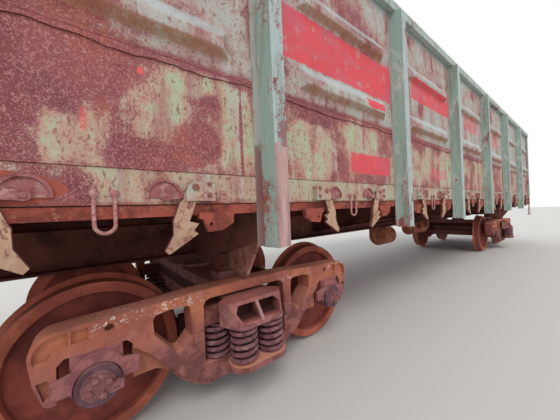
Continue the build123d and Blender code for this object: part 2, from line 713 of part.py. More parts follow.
# Ladders: staple rungs on the end walls at two opposite corners, and stirrup steps below.
RUNG = 20.0
RUNG_OUT = 85.0
RUNG_Z = [RAIL_Z + z for z in (1600.0, 2050.0, 2500.0, 2970.0)]
RUNG_Y = (WALL_Y - 375.0, WALL_Y - 15.0)
RUNG_X = END_FACE + CORNER_DEPTH
BAR_X = RUNG_X + RUNG_OUT - RUNG  # inner side of a rung
STEP_T = 12.0
STEP_FOOT = RAIL_Z + 880.0
STEP_X = (WALL_X - 20.0, WALL_X + 240.0)
STEP_W = 40.0
with BuildPart() as ladders:
    with BuildSketch(Plane.XZ.offset(-WALL_Y)):
        with Locations([(x, (STEP_FOOT + CAP_UNDER) / 2) for x in STEP_X]):
            Rectangle(STEP_W, CAP_UNDER - STEP_FOOT)
    extrude(amount=-STEP_T)
    with BuildSketch(Plane.XY.offset(STEP_FOOT - STEP_T - SEATING)):
        with Locations(((STEP_X[0] + STEP_X[1]) / 2, WALL_Y + 5.0)):
            Rectangle(STEP_X[1] - STEP_X[0] + STEP_W, 70.0)
    extrude(amount=STEP_T)
    mirror(about=Plane.XZ)
    mirror(about=Plane.YZ)
    for end in ENDS:
        for z in RUNG_Z:
            with BuildSketch(Plane.XY.offset(z)):
                for start, leg_y in ((END_FACE, RUNG_Y[0]), (RUNG_X, RUNG_Y[1] - RUNG)):
                    with Locations((end * (start + BAR_X - SEATING) / 2, -end * (leg_y + RUNG / 2))):
                        Rectangle(BAR_X - SEATING - start, RUNG)
                with Locations((end * (BAR_X + RUNG / 2), -end * (RUNG_Y[0] + RUNG_Y[1]) / 2)):
                    Rectangle(RUNG, RUNG_Y[1] - RUNG_Y[0])
            extrude(amount=RUNG)
save(ladders, "ladders")

# Brakes under the frame: a cylinder and an air reservoir on saddles, and the train pipe.
CYL_R = 178.0
CYL_Z = SILL_Z - 20.0 - CYL_R
CYL_X = -700.0
with BuildPart() as brake_cylinder:
    with BuildSketch(Plane.YZ.offset(CYL_X)):
        with Locations((-60.0, CYL_Z)):
            Circle(CYL_R)
    extrude(amount=420.0)
    with BuildSketch(Plane.XY.offset(CYL_Z)):
        with Locations((CYL_X + 210.0, 0)):
            Rectangle(200.0, 2 * SILL_IN + 40.0)
    extrude(amount=SILL_Z - CYL_Z)
save(brake_cylinder, "brake_cylinder")

TANK_R = 152.0
TANK_Z = SILL_Z - 20.0 - TANK_R
TANK_X = 900.0
TANK_L = 780.0
with BuildPart() as air_reservoir:
    with BuildSketch(Plane.YZ.offset(TANK_X)):
        with Locations((60.0, TANK_Z)):
            Circle(TANK_R)
    extrude(amount=TANK_L)
    with BuildSketch(Plane.XY.offset(TANK_Z)):
        with Locations((TANK_X + 200.0, 0), (TANK_X + TANK_L - 200.0, 0)):
            Rectangle(60.0, 2 * SILL_IN + 40.0)
    extrude(amount=SILL_Z - TANK_Z)
save(air_reservoir, "air_reservoir")

with BuildPart() as train_pipe:
    with BuildSketch(Plane.YZ.offset(-END_OUT - 80.0)):
        with Locations((PIPE_Y, PIPE_Z)):
            RegularPolygon(PIPE_FLAT, 8, major_radius=False, rotation=22.5)
    extrude(amount=2 * END_OUT + 160.0)
save(train_pipe, "train_pipe")

# Bogies: everything below is made for both, with w measured along X from the pivot.
FRAME_IN = FRAME_Y - FRAME_W / 2
FRAME_OUT = FRAME_Y + FRAME_W / 2
JAW_HALF = 164.0  # half width of the opening for an axle box
JAW_IN = AXLE_X - JAW_HALF
JAW_OUT = AXLE_X + JAW_HALF
JAW_TOP = RAIL_Z + 645.0
JAW_CORNER = 30.0
# a frame's outline in three stretches: over the top, round the jaw, and along the foot, which
# reaches lower at the back than in front
FRAME_OVER = [
    (400.0, FRAME_TOP_Z),
    (620.0, FRAME_TOP_Z - 17.0),
    (AXLE_X + 100.0, FRAME_TOP_Z - 32.0),
    (AXLE_X + 276.0, FRAME_TOP_Z - 45.0),
    (AXLE_X + 250.0, RAIL_Z + 561.0),
    (AXLE_X + 216.0, RAIL_Z + 450.0),
    (AXLE_X + 195.0, RAIL_Z + 434.0),
]
FRAME_JAW = [
    (JAW_OUT, RAIL_Z + 434.0),
    (JAW_OUT, JAW_TOP - JAW_CORNER),
    (JAW_OUT - JAW_CORNER, JAW_TOP),
    (JAW_IN + JAW_CORNER, JAW_TOP),
    (JAW_IN, JAW_TOP - JAW_CORNER),
]
FOOT_BACK = [
    (JAW_IN, RAIL_Z + 399.0),
    (640.0, RAIL_Z + 400.0),
    (583.0, RAIL_Z + 371.0),
    (494.0, RAIL_Z + 267.0),
    (431.0, RAIL_Z + 212.0),
    (330.0, FRAME_FOOT_Z),
]
FOOT_FRONT = [
    (JAW_IN, RAIL_Z + 590.0),
    (738.0, RAIL_Z + 575.0),
    (678.0, RAIL_Z + 523.0),
    (494.0, RAIL_Z + 310.0),
    (389.0, RAIL_Z + 250.0),
    (339.0, RAIL_Z + 214.0),
    (153.0, RAIL_Z + 183.0),
]
FRAME_FILLET = 100.0
FOOT_STEP = 50.0  # how far the lower foot lies behind the front
WINDOW = [
    (432.0, RAIL_Z + 745.0),
    (424.0, RAIL_Z + 545.0),
    (508.0, RAIL_Z + 450.0),
    (650.0, RAIL_Z + 620.0),
    (656.0, RAIL_Z + 735.0),
    (560.0, RAIL_Z + 750.0),
]
WINDOW_FILLET = 32.0
OPEN_HALF = 345.0
OPEN_TOP = RAIL_Z + 757.0
OPENING = [
    (OPEN_HALF, SEAT_Z),
    (OPEN_HALF, OPEN_TOP - 40.0),
    (OPEN_HALF - 15.0, OPEN_TOP - 12.0),
    (OPEN_HALF - 50.0, OPEN_TOP),
]
# the sunk panel over a jaw's outer corner, and the pocket in the leg under it
PANEL = [
    (AXLE_X + 35.0, FRAME_TOP_Z - 50.0),
    (AXLE_X + 110.0, FRAME_TOP_Z - 52.0),
    (AXLE_X + 258.0, FRAME_TOP_Z - 64.0),
    (AXLE_X + 246.0, JAW_TOP + 10.0),
    (AXLE_X + 200.0, JAW_TOP + 10.0),
    (AXLE_X + 181.0, JAW_TOP + 35.0),
    (AXLE_X + 133.0, JAW_TOP + 58.0),
    (AXLE_X + 35.0, JAW_TOP + 58.0),
]
LEG_POCKET = [
    (AXLE_X + 195.0, RAIL_Z + 565.0),
    (AXLE_X + 238.0, RAIL_Z + 565.0),
    (AXLE_X + 213.0, RAIL_Z + 468.0),
    (AXLE_X + 195.0, RAIL_Z + 474.0),
]
PANEL_DEPTH = 25.0
PANEL_RIB = 12.0
PANEL_FILLET = 84.0
EYE_R = 22.0
# raised pads on the columns, as heights of their middles
PADS = (RAIL_Z + 604.0, RAIL_Z + 500.0)
SEAT_T = 35.0
SEAT_LIP = 13.0  # seat round an outer spring
# springs of one group, as (w, y from the side frame's middle)
SPRINGS = [
    (SPRING_STEP / 2, -SPRING_ROW),
    (-SPRING_STEP / 2, -SPRING_ROW),
    (SPRING_STEP, 0.0),
    (0.0, 0.0),
    (-SPRING_STEP, 0.0),
    (SPRING_STEP / 2, SPRING_ROW),
    (-SPRING_STEP / 2, SPRING_ROW),
]
POCKET_Y = (FRAME_Y - 75.0, FRAME_Y + 50.0)
WEDGE = [
    (131.0, SPRING_TOP),
    (OPEN_HALF - SEATING, SPRING_TOP),
    (OPEN_HALF - SEATING, SPRING_TOP + 135.0),
    (190.0, SPRING_TOP + 135.0),
    (190.0, SPRING_TOP + 66.0),
]
# a bolster's end outside the frame: its plan as (w, y), its side view as (y, z) and one pocket
NOSE_PLAN = [
    (180.0, FRAME_OUT - 10.0),
    (250.0, FRAME_OUT + 34.0),
    (215.0, BOLSTER_HALF - 85.0),
    (170.0, BOLSTER_HALF - 10.0),
    (60.0, BOLSTER_HALF),
]
NOSE_H = 175.0
NOSE_SIDE = [
    (FRAME_OUT - 10.0, SPRING_TOP),
    (BOLSTER_HALF, SPRING_TOP),
    (BOLSTER_HALF, SPRING_TOP + 30.0),
    (BOLSTER_HALF - 100.0, SPRING_TOP + NOSE_H - 17.0),
    (FRAME_OUT - 10.0, SPRING_TOP + NOSE_H),
]
NOSE_POCKET = [
    (12.0, SPRING_TOP + 36.0),
    (12.0, SPRING_TOP + 138.0),
    (150.0, SPRING_TOP + 138.0),
    (182.0, SPRING_TOP + 100.0),
    (152.0, SPRING_TOP + 36.0),
]
BOX_IN = 925.0
ARM_Y = (FRAME_OUT + SEATING, FRAME_OUT + 26.0)
COVER_OUT = FRAME_OUT + 44.0
COVER_R = 103.0
COVER_GAP = 5.0
BOX_RIGHT = [
    (45.0, AXLE_Z - 100.0),
    (96.0, AXLE_Z - 50.0),
    (114.0, AXLE_Z - 5.0),
    (114.0, JAW_TOP),
]
BOX_ARM = [
    (45.0, AXLE_Z - 100.0),
    (96.0, AXLE_Z - 50.0),
    (114.0, AXLE_Z - 8.0),
    (188.0, AXLE_Z - 8.0),
    (188.0, AXLE_Z + 75.0),
    (112.0, AXLE_Z + 92.0),
    (92.0, AXLE_Z + 127.0),
    (50.0, AXLE_Z + 150.0),
    (15.0, AXLE_Z + 157.0),
]

for number, pivot_x in ((1, -PIVOT_X), (2, PIVOT_X)):
    # Side frames: cast frames with windows, jaws for the axle boxes and a spring seat.
    with BuildPart() as side_frames:
        for foot, depth in ((FOOT_FRONT, FRAME_W), (FOOT_BACK, FRAME_W - FOOT_STEP)):
            outline = FRAME_OVER + FRAME_JAW + foot
            with BuildSketch(Plane.XZ.offset(FRAME_IN)):
                with Locations((pivot_x, 0)):
                    Polygon(*outline, *[(-w, z) for w, z in reversed(outline)])
                fillet([v for v in vertices() if abs(v.X - pivot_x) > AXLE_X + 270.0], FRAME_FILLET)
            extrude(amount=depth)
        with BuildSketch(Plane.XZ.offset(FRAME_IN)):
            with Locations((pivot_x, 0)):
                for hand in ENDS:
                    Polygon(*[(hand * w, z) for w, z in WINDOW])
            fillet(vertices(), WINDOW_FILLET)
            with Locations((pivot_x, 0)):
                Polygon(*OPENING, *[(-w, z) for w, z in reversed(OPENING)])
        extrude(amount=FRAME_W, mode=Mode.SUBTRACT)
        with BuildSketch(Plane.XZ.offset(FRAME_OUT)):
            with Locations((pivot_x, 0)):
                for hand in ENDS:
                    Polygon(*[(hand * w, z) for w, z in PANEL])
            fillet([v for v in vertices() if abs(v.X - pivot_x) > AXLE_X + 255.0], PANEL_FILLET)
            with Locations((pivot_x, 0)):
                for hand in ENDS:
                    Polygon(*[(hand * w, z) for w, z in LEG_POCKET])
            with Locations([(pivot_x + hand * (AXLE_X + 110.0), JAW_TOP + 90.0) for hand in ENDS]):
                Rectangle(PANEL_RIB, 120.0, mode=Mode.SUBTRACT)
        extrude(amount=-PANEL_DEPTH, mode=Mode.SUBTRACT)
        with BuildSketch(Plane.XZ.offset(FRAME_OUT)):
            with Locations([(pivot_x + hand * (AXLE_X - 56.0), FRAME_TOP_Z - 83.0) for hand in ENDS]):
                Circle(EYE_R)
        extrude(amount=-60.0, mode=Mode.SUBTRACT)
        with BuildSketch(Plane.XZ.offset(FRAME_OUT)):
            with Locations([(pivot_x + hand * (OPEN_HALF + 40.0), z) for hand in ENDS for z in PADS]):
                Rectangle(68.0, 86.0)
        extrude(amount=10.0)
        with BuildSketch(Plane.XY.offset(SEAT_Z - SEAT_T)):
            with Locations((pivot_x, -FRAME_Y)):
                Rectangle(2 * OPEN_HALF - 20.0, FRAME_W)
                Rectangle(SPRING_STEP, 2 * (SPRING_ROW + SPRING_R + SEAT_LIP))
                with GridLocations(SPRING_STEP, 2 * SPRING_ROW, 2, 2):
                    Circle(SPRING_R + SEAT_LIP)
        extrude(amount=SEAT_T)
        mirror(about=Plane.XZ)
    save(side_frames, f"side_frames_{number}")

    # Bolster: a deep beam between the side frames, with a sloping nose and open pockets at its ends.
    with BuildPart() as nose:
        with BuildSketch(Plane.XY.offset(SPRING_TOP)):
            with Locations((pivot_x, 0)):
                Polygon(*NOSE_PLAN, *[(-w, y) for w, y in reversed(NOSE_PLAN)])
        extrude(amount=NOSE_H)
        with BuildSketch(Plane.YZ.offset(pivot_x)):
            Polygon(*NOSE_SIDE)
        extrude(amount=OPEN_HALF, both=True, mode=Mode.INTERSECT)
        with BuildSketch(Plane.XZ.offset(-BOLSTER_HALF)):
            with Locations((pivot_x, 0)):
                for hand in ENDS:
                    Polygon(*[(hand * w, z) for w, z in NOSE_POCKET])
        extrude(amount=BOLSTER_HALF - FRAME_OUT - 30.0, mode=Mode.SUBTRACT)

    with BuildPart() as bolster:
        with BuildSketch(Plane.YZ.offset(pivot_x - 180.0)):
            Polygon(
                (0, RAIL_Z + 430.0),
                (540.0, RAIL_Z + 450.0),
                (FRAME_Y - SPRING_ROW - SPRING_R - 10.0, SPRING_TOP),
                (FRAME_OUT, SPRING_TOP),
                (FRAME_OUT, SPRING_TOP + NOSE_H),
                (FRAME_IN - 20.0, SPRING_TOP + NOSE_H),
                (FRAME_IN - 90.0, BOLSTER_TOP_Z),
                (0, BOLSTER_TOP_Z),
            )
        extrude(amount=360.0)
        add(nose.part)
        with BuildSketch(Plane.XZ.offset(-POCKET_Y[1])):
            with Locations((pivot_x, 0)):
                for hand in ENDS:
                    Polygon(
                        (hand * (WEDGE[0][0] - SEATING - 2.0), SPRING_TOP),
                        (hand * 200.0, SPRING_TOP),
                        (hand * 200.0, SPRING_TOP + 79.0),
                    )
        extrude(amount=POCKET_Y[1] - POCKET_Y[0], mode=Mode.SUBTRACT)
        with BuildSketch(Plane.XY.offset(BOLSTER_TOP_Z)):
            with Locations((pivot_x, BEARER_Y)):
                Rectangle(240.0, BEARER_W)
        extrude(amount=BEARER_TOP - BOLSTER_TOP_Z)
        mirror(about=Plane.XZ)
        with BuildSketch(Plane.XY.offset(BOLSTER_TOP_Z)):
            with Locations((pivot_x, 0)):
                Circle(PIVOT_R + 28.0)
        extrude(amount=PIVOT_FOOT_Z - SEATING - BOLSTER_TOP_Z)
    save(bolster, f"bolster_{number}")

    # Springs: seven under each end of the bolster, drawn as their outer envelopes.
    with BuildPart() as springs:
        with BuildSketch(Plane.XY.offset(SEAT_Z)):
            with Locations([(pivot_x + w, FRAME_Y + y) for w, y in SPRINGS]):
                RegularPolygon(SPRING_R, 10)
        extrude(amount=SPRING_H)
        mirror(about=Plane.XZ)
    save(springs, f"springs_{number}")

    # Friction wedges between the bolster's slopes and the frames' columns.
    with BuildPart() as wedges:
        with BuildSketch(Plane.XZ.offset(-POCKET_Y[1] + 10.0)):
            for hand in ENDS:
                Polygon(*[(pivot_x + hand * w, z) for w, z in WEDGE])
        extrude(amount=POCKET_Y[1] - POCKET_Y[0] - 20.0)
        mirror(about=Plane.XZ)
    save(wedges, f"wedges_{number}")

    # Axle boxes: cast housings in the jaws, each with a round cover over the axle's end.
    with BuildPart() as axle_boxes:
        for outline, start, end in ((BOX_RIGHT, BOX_IN, ARM_Y[0]), (BOX_ARM, ARM_Y[0], ARM_Y[1])):
            with BuildSketch(Plane.XZ.offset(-start)):
                with Locations((pivot_x - AXLE_X, 0), (pivot_x + AXLE_X, 0)):
                    Polygon(*outline, *[(-w, z) for w, z in reversed(outline)])
            extrude(amount=start - end)
        ring_and_cover = (
            (COVER_R + COVER_GAP, ARM_Y[1], Mode.SUBTRACT),
            (COVER_R, COVER_OUT, Mode.ADD),
        )
        for radius, end, mode in ring_and_cover:
            with BuildSketch(Plane.XZ.offset(-ARM_Y[0])):
                with Locations((pivot_x - AXLE_X, AXLE_Z), (pivot_x + AXLE_X, AXLE_Z)):
                    Circle(radius)
            extrude(amount=ARM_Y[0] - end, mode=mode)
        with BuildSketch(Plane.XZ.offset(-BOX_IN)):
            with Locations((pivot_x - AXLE_X, AXLE_Z), (pivot_x + AXLE_X, AXLE_Z)):
                Circle(JOURNAL_R + SEATING)
        extrude(amount=BOX_IN - AXLE_HALF - 4.0, mode=Mode.SUBTRACT)
        mirror(about=Plane.XZ)
    save(axle_boxes, f"axle_boxes_{number}")

    # Brake beams with their shoes against the wheels' inner sides, on hangers from the frames.
    SHOE_W = AXLE_X - TREAD_R - 10.0
    with BuildPart() as brake_beams:
        for hand in ENDS:
            with BuildSketch(Plane.XZ.offset(-845.0)):
                Polygon(
                    (pivot_x + hand * (SHOE_W - 60.0), AXLE_Z - 120.0),
                    (pivot_x + hand * (SHOE_W - 15.0), AXLE_Z - 120.0),
                    (pivot_x + hand * SHOE_W, AXLE_Z),
                    (pivot_x + hand * (SHOE_W - 15.0), AXLE_Z + 110.0),
                    (pivot_x + hand * (SHOE_W - 60.0), AXLE_Z + 110.0),
                )
            extrude(amount=75.0)
            with BuildSketch(Plane.XZ):
                with Locations((pivot_x + hand * (SHOE_W - 70.0), AXLE_Z - 60.0)):
                    Rectangle(40.0, 60.0)
            extrude(amount=-800.0)
            with BuildSketch(Plane.YZ.offset(pivot_x + hand * (SHOE_W - 50.0))):
                Polygon(
                    (800.0, AXLE_Z + 60.0),
                    (845.0, AXLE_Z + 60.0),
                    (FRAME_IN, AXLE_Z + 150.0),
                    (FRAME_IN, AXLE_Z + 180.0),
                    (800.0, AXLE_Z + 110.0),
                )
            extrude(amount=hand * 20.0)
        mirror(about=Plane.XZ)
    save(brake_beams, f"brake_beams_{number}")

# Wheelsets: two wheels pressed on each axle. Profiles as (y, radius).
BACK_Y = WHEEL_BACKS / 2
FRONT_Y = BACK_Y + RIM_W
HUB_Y = FRONT_Y + 55.0
WEB_BACK_Y = BACK_Y + 28.0
WHEEL = [
    (WEB_BACK_Y, SEAT_R),
    (BACK_Y, TREAD_R - RIM_DEPTH),
    (BACK_Y, TREAD_R + RAIL_Z),
    (BACK_Y + 33.0, TREAD_R),
    (FRONT_Y, TREAD_R - 5.0),
    (FRONT_Y, TREAD_R - RIM_DEPTH),
    (FRONT_Y - 44.0, TREAD_R - RIM_DEPTH - 12.0),
    (FRONT_Y - 6.0, HUB_R),
    (HUB_Y, HUB_R - 4.0),
    (HUB_Y, SEAT_R),
]
AXLE = [
    (0, 0),
    (0, AXLE_R),
    (WEB_BACK_Y - 3.0, AXLE_R),
    (WEB_BACK_Y - 3.0, SEAT_R),
    (HUB_Y + 8.0, SEAT_R),
    (HUB_Y + 16.0, JOURNAL_R),
    (AXLE_HALF, JOURNAL_R),
    (AXLE_HALF, 0),
]
WHEELSET_X = [-PIVOT_X - AXLE_X, -PIVOT_X + AXLE_X, PIVOT_X - AXLE_X, PIVOT_X + AXLE_X]
for number, axle_x in enumerate(WHEELSET_X, start=1):
    side_on = Plane(origin=(axle_x, 0, AXLE_Z), x_dir=(0, 1, 0), z_dir=(1, 0, 0))
    turning = Axis((axle_x, 0, AXLE_Z), (0, 1, 0))
    with BuildPart() as wheels:
        with BuildSketch(side_on):
            Polygon(*WHEEL)
        revolve(axis=turning)
        mirror(about=Plane.XZ)
    save(wheels, f"wheels_{number}")

    with BuildPart() as axle:
        with BuildSketch(side_on):
            Polygon(*AXLE)
        revolve(axis=turning)
        mirror(about=Plane.XZ)
    save(axle, f"axle_{number}")
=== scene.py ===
import bpy
import math
import random
from mathutils import Matrix, Vector


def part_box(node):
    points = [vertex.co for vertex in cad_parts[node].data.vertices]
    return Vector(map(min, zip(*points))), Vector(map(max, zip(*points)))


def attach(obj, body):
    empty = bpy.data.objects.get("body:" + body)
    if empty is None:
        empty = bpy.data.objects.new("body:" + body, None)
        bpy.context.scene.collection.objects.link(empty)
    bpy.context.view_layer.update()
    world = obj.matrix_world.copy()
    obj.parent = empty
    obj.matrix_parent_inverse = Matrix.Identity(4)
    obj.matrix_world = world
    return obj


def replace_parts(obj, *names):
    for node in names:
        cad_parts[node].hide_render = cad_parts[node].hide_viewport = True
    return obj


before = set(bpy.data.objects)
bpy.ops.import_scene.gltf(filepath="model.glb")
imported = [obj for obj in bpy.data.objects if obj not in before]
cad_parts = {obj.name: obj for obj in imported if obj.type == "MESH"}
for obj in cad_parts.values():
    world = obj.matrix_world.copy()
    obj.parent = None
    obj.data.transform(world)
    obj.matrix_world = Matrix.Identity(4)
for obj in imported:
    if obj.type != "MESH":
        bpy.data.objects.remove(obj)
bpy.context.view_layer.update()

# Underframe: the sill, the cross beams, the bolster beams and the end beams.
# Rolled and pressed steel, welded, with little of its dark paint left under oil and brake dust.
# The helpers for weathered paint start here, since this is the first section that needs them.
RAIL = 0.028


def srgb(r, g, b):
    """A colour given as it looks on a screen, 0 to 255, as Blender's linear numbers."""
    lin = [c / 255 / 12.92 if c < 10.3 else ((c / 255 + 0.055) / 1.055) ** 2.4 for c in (r, g, b)]
    return (*lin, 1.0)


class Weather:
    """Builds one material's nodes. Values are sockets or plain numbers."""

    def __init__(self, name):
        self.mat = bpy.data.materials.new(name)
        self.mat.use_nodes = True
        self.tree = self.mat.node_tree
        self.tree.nodes.clear()
        coords = self.tree.nodes.new("ShaderNodeTexCoord")
        self.place = coords.outputs["Object"]
        self.x, self.y, self.z = self.split(self.place)
        faces = self.tree.nodes.new("ShaderNodeNewGeometry")
        self.facing_x, self.facing_y, self.facing_z = self.split(faces.outputs["Normal"])

    def split(self, vector):
        n = self.tree.nodes.new("ShaderNodeSeparateXYZ")
        self.tree.links.new(vector, n.inputs[0])
        return n.outputs

    def put(self, socket, value):
        if isinstance(value, bpy.types.NodeSocket):
            self.tree.links.new(value, socket)
        else:
            socket.default_value = value

    def math(self, op, a, b=0.0, c=0.0):
        n = self.tree.nodes.new("ShaderNodeMath")
        n.operation = op
        for i, v in enumerate((a, b, c)):
            self.put(n.inputs[i], v)
        return n.outputs[0]

    def total(self, *weighted):
        """The sum of (value, weight) pairs."""
        result = 0.0
        for value, weight in weighted:
            result = self.math("MULTIPLY_ADD", value, weight, result)
        return result

    def times(self, first, *others):
        """The product of two or more values."""
        result = first
        for value in others:
            result = self.math("MULTIPLY", result, value)
        return result

    def noise(self, scale, detail=4.0, rough=0.6, stretch=(1, 1, 1), shift=0.0, warp=0.0):
        m = self.tree.nodes.new("ShaderNodeMapping")
        self.put(m.inputs["Vector"], self.place)
        m.inputs["Scale"].default_value = stretch
        m.inputs["Location"].default_value = (shift, shift * 0.7, shift * 1.3)
        n = self.tree.nodes.new("ShaderNodeTexNoise")
        self.put(n.inputs["Vector"], m.outputs[0])
        n.inputs["Scale"].default_value = scale
        n.inputs["Detail"].default_value = detail
        n.inputs["Roughness"].default_value = rough
        n.inputs["Distortion"].default_value = warp
        return n.outputs["Fac"]

    def step(self, value, low, high, to_low=0.0, to_high=1.0):
        """Rises smoothly from to_low at low to to_high at high."""
        n = self.tree.nodes.new("ShaderNodeMapRange")
        n.interpolation_type = "SMOOTHSTEP"
        self.put(n.inputs["Value"], value)
        n.inputs["From Min"].default_value = low
        n.inputs["From Max"].default_value = high
        n.inputs["To Min"].default_value = to_low
        n.inputs["To Max"].default_value = to_high
        return n.outputs[0]

    def band(self, value, low, high, soft):
        """1 between low and high, fading out over soft on either side."""
        up = self.step(value, low - soft, low + soft)
        down = self.step(value, high - soft, high + soft, 1.0, 0.0)
        return self.math("MULTIPLY", up, down)

    def blob(self, x, z, across, high):
        """1 in the middle of an ellipse on the side sheets, 0 well outside it."""
        u = self.math("DIVIDE", self.math("SUBTRACT", self.x, x), across)
        v = self.math("DIVIDE", self.math("SUBTRACT", self.z, RAIL + z), high)
        far = self.math("MULTIPLY_ADD", u, u, self.math("MULTIPLY", v, v))
        return self.step(far, 0.2, 1.6, 1.0, 0.0)

    def near_side(self):
        """1 on the near side's sheets, posts and rails, 0 elsewhere."""
        return self.step(self.y, -1.3, -1.2, 1.0, 0.0)

    def outside(self):
        """1 on the faces of a side that are turned away from the load."""
        return self.step(self.math("MULTIPLY", self.facing_y, self.y), 0.2, 0.4)

    def mix(self, fac, a, b):
        n = self.tree.nodes.new("ShaderNodeMix")
        n.data_type = "RGBA"
        self.put(n.inputs[0], fac)
        self.put(n.inputs[6], a)
        self.put(n.inputs[7], b)
        return n.outputs[2]

    def finish(self, color, rough=0.85, height=None, depth=0.004):
        shader = self.tree.nodes.new("ShaderNodeBsdfPrincipled")
        self.put(shader.inputs["Base Color"], color)
        self.put(shader.inputs["Roughness"], rough)
        shader.inputs["Specular IOR Level"].default_value = 0.3
        if height is not None:
            bump = self.tree.nodes.new("ShaderNodeBump")
            bump.inputs["Strength"].default_value = 0.6
            bump.inputs["Distance"].default_value = depth
            self.put(bump.inputs["Height"], height)
            self.tree.links.new(bump.outputs[0], shader.inputs["Normal"])
        out = self.tree.nodes.new("ShaderNodeOutputMaterial")
        self.tree.links.new(shader.outputs[0], out.inputs[0])
        return self.mat


def rust(name, main, dark, light, scale, dust=0.0):
    """Bare rusted steel: three tones, mottled, with a fine grain, and dust on what faces up."""
    w = Weather(name)
    big = w.noise(scale, 5.0, 0.65)
    fine = w.noise(scale * 12, 4.0, 0.7, shift=3.0)
    color = w.mix(w.step(big, 0.46, 0.68), main, light)
    color = w.mix(w.step(w.noise(scale * 1.7, 4.0, 0.6, shift=7.0), 0.48, 0.70, 0.0, 0.85), color, dark)
    color = w.mix(w.step(fine, 0.52, 0.75, 0.0, 0.5), color, dark)
    color = w.mix(w.step(w.noise(scale * 20, 3.0, 0.7, shift=13.0), 0.60, 0.72, 0.0, 0.35), color, light)
    if dust:
        color = w.mix(w.step(w.facing_z, 0.3, 0.95, 0.0, dust), color, light)
    return w.finish(color, 0.88, w.total((big, 1.0), (fine, 0.6)), 0.003)


def paint(node, mat, bevel=0.0, segments=2):
    """A CAD node shown with this material, and with its sharp edges eased."""
    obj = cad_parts[node]
    for s in obj.material_slots:
        s.material = mat
    if not obj.material_slots:
        obj.data.materials.append(mat)
    if bevel:
        b = obj.modifiers.new("eased", "BEVEL")
        b.width = bevel
        b.segments = segments
        b.limit_method = "ANGLE"
        b.angle_limit = math.radians(30)
        b.harden_normals = True


under = rust("under", srgb(104, 60, 52), srgb(58, 35, 32), srgb(130, 78, 64), 3.0)
for node in ("centre_sill", "cross_beams", "bolster_beams", "hinge_lugs"):
    paint(node, under, 0.002)
plate_rust = rust("plate_rust", srgb(150, 92, 82), srgb(96, 56, 50), srgb(172, 134, 120), 9.0)
paint("jacking_plates", plate_rust, 0.002)
beam_rust = rust("beam_rust", srgb(132, 78, 68), srgb(84, 48, 44), srgb(168, 134, 118), 3.0)
paint("end_beams", beam_rust, 0.003)
paint("train_pipe", under)


# Side sheets: thin pressed steel, painted pale green long ago and now half rust.
# The lower sheets are flat, the upper ones have two pressed ridges in each bay and lap over the
# lower ones in a ragged, welded edge. A thin bead closes the sheets to the bottom rails.
def side_paint(name, rusty, fresh, worn, blobs=(), across="y"):
    """Pale green paint over maroon rust, going over from one to the other in fine specks.

    The faces turned to the load, across the wagon or along it, are scoured almost bare.
    """
    w = Weather(name)
    turned, place = (w.facing_y, w.y) if across == "y" else (w.facing_x, w.x)
    inside = w.step(w.times(turned, place), -0.5, -0.9)
    big = w.noise(1.4, 5.0, 0.62, (1, 1, 1.25), shift=11.0, warp=0.4)
    mid = w.noise(6.0, 6.0, 0.68, (1, 1, 0.9), shift=2.0, warp=0.3)
    streak = w.noise(4.2, 5.0, 0.6, (2.4, 2.4, 0.30), shift=5.0)
    speck = w.noise(92.0, 4.0, 0.8, (1, 1, 0.7), shift=9.0)
    grit = w.noise(210.0, 2.0, 0.7, shift=19.0)
    lost = w.total((big, 0.9), (mid, 0.6), (streak, 0.45), (-0.975, 1.0), (inside, 0.22))
    lost = w.total((lost, 1.0), (w.band(w.z, RAIL + 2.06, RAIL + 2.14, 0.03), 0.10))
    low = w.step(w.z, RAIL + 1.50, RAIL + 1.72, 1.0, 0.0)
    further = w.step(w.x, -3.2, -1.0)
    lost = w.total((lost, 1.0), (low, 0.04), (further, -0.05))
    if blobs:
        marks = w.total(*[(w.blob(*spot), 0.62 * weight) for *spot, weight in blobs])
        lost = w.total((lost, 1.0), (w.times(marks, w.near_side()), 1.0))
    rough_edge = w.total((lost, 1.0), (speck, 0.75), (grit, 0.35), (-0.55, 1.0))
    bare = w.step(rough_edge, -rusty - 0.025, -rusty + 0.025)
    worn_edge = w.total((lost, 1.0), (speck, 0.35), (-0.175, 1.0))
    clean = w.step(worn_edge, -rusty - 0.20, -rusty - 0.04, 1.0, 0.0)
    green = w.mix(clean, worn, fresh)
    pale = w.step(w.noise(5.0, 4.0, 0.6, (1.6, 1.6, 0.25), shift=41.0), 0.52, 0.66, 0.0, 0.6)
    green = w.mix(pale, green, srgb(184, 188, 180))
    green = w.mix(w.step(streak, 0.50, 0.64, 0.0, 0.5), green, srgb(156, 118, 108))
    pits = w.step(w.noise(64.0, 3.0, 0.6, (1, 1, 0.5), shift=23.0), 0.585, 0.64, 0.0, 0.75)
    green = w.mix(pits, green, srgb(132, 76, 72))
    green = w.mix(w.step(grit, 0.56, 0.70, 0.0, 0.4), green, srgb(140, 106, 94))
    tint = w.step(w.noise(2.4, 4.0, 0.6, shift=27.0), 0.42, 0.58)
    brown = w.mix(tint, srgb(144, 78, 78), srgb(136, 76, 84))
    brown = w.mix(w.step(w.noise(3.4, 5.0, 0.6, shift=21.0), 0.52, 0.64, 0.0, 0.8), brown, srgb(158, 84, 70))
    brown = w.mix(w.step(mid, 0.50, 0.66, 0.0, 0.55), brown, srgb(116, 58, 62))
    brown = w.mix(w.step(w.noise(1.7, 4.0, 0.6, shift=63.0), 0.50, 0.62, 0.0, 0.6), brown, srgb(110, 58, 68))
    flakes = w.step(w.total((speck, 0.6), (grit, 0.6)), 0.61, 0.70, 0.0, 0.7)
    brown = w.mix(flakes, brown, srgb(198, 140, 136))
    color = w.mix(bare, green, brown)
    color = w.mix(w.times(inside, 0.6), color, srgb(118, 82, 70))
    return w, color, w.total((bare, -0.5), (mid, 0.4), (speck, 0.35))


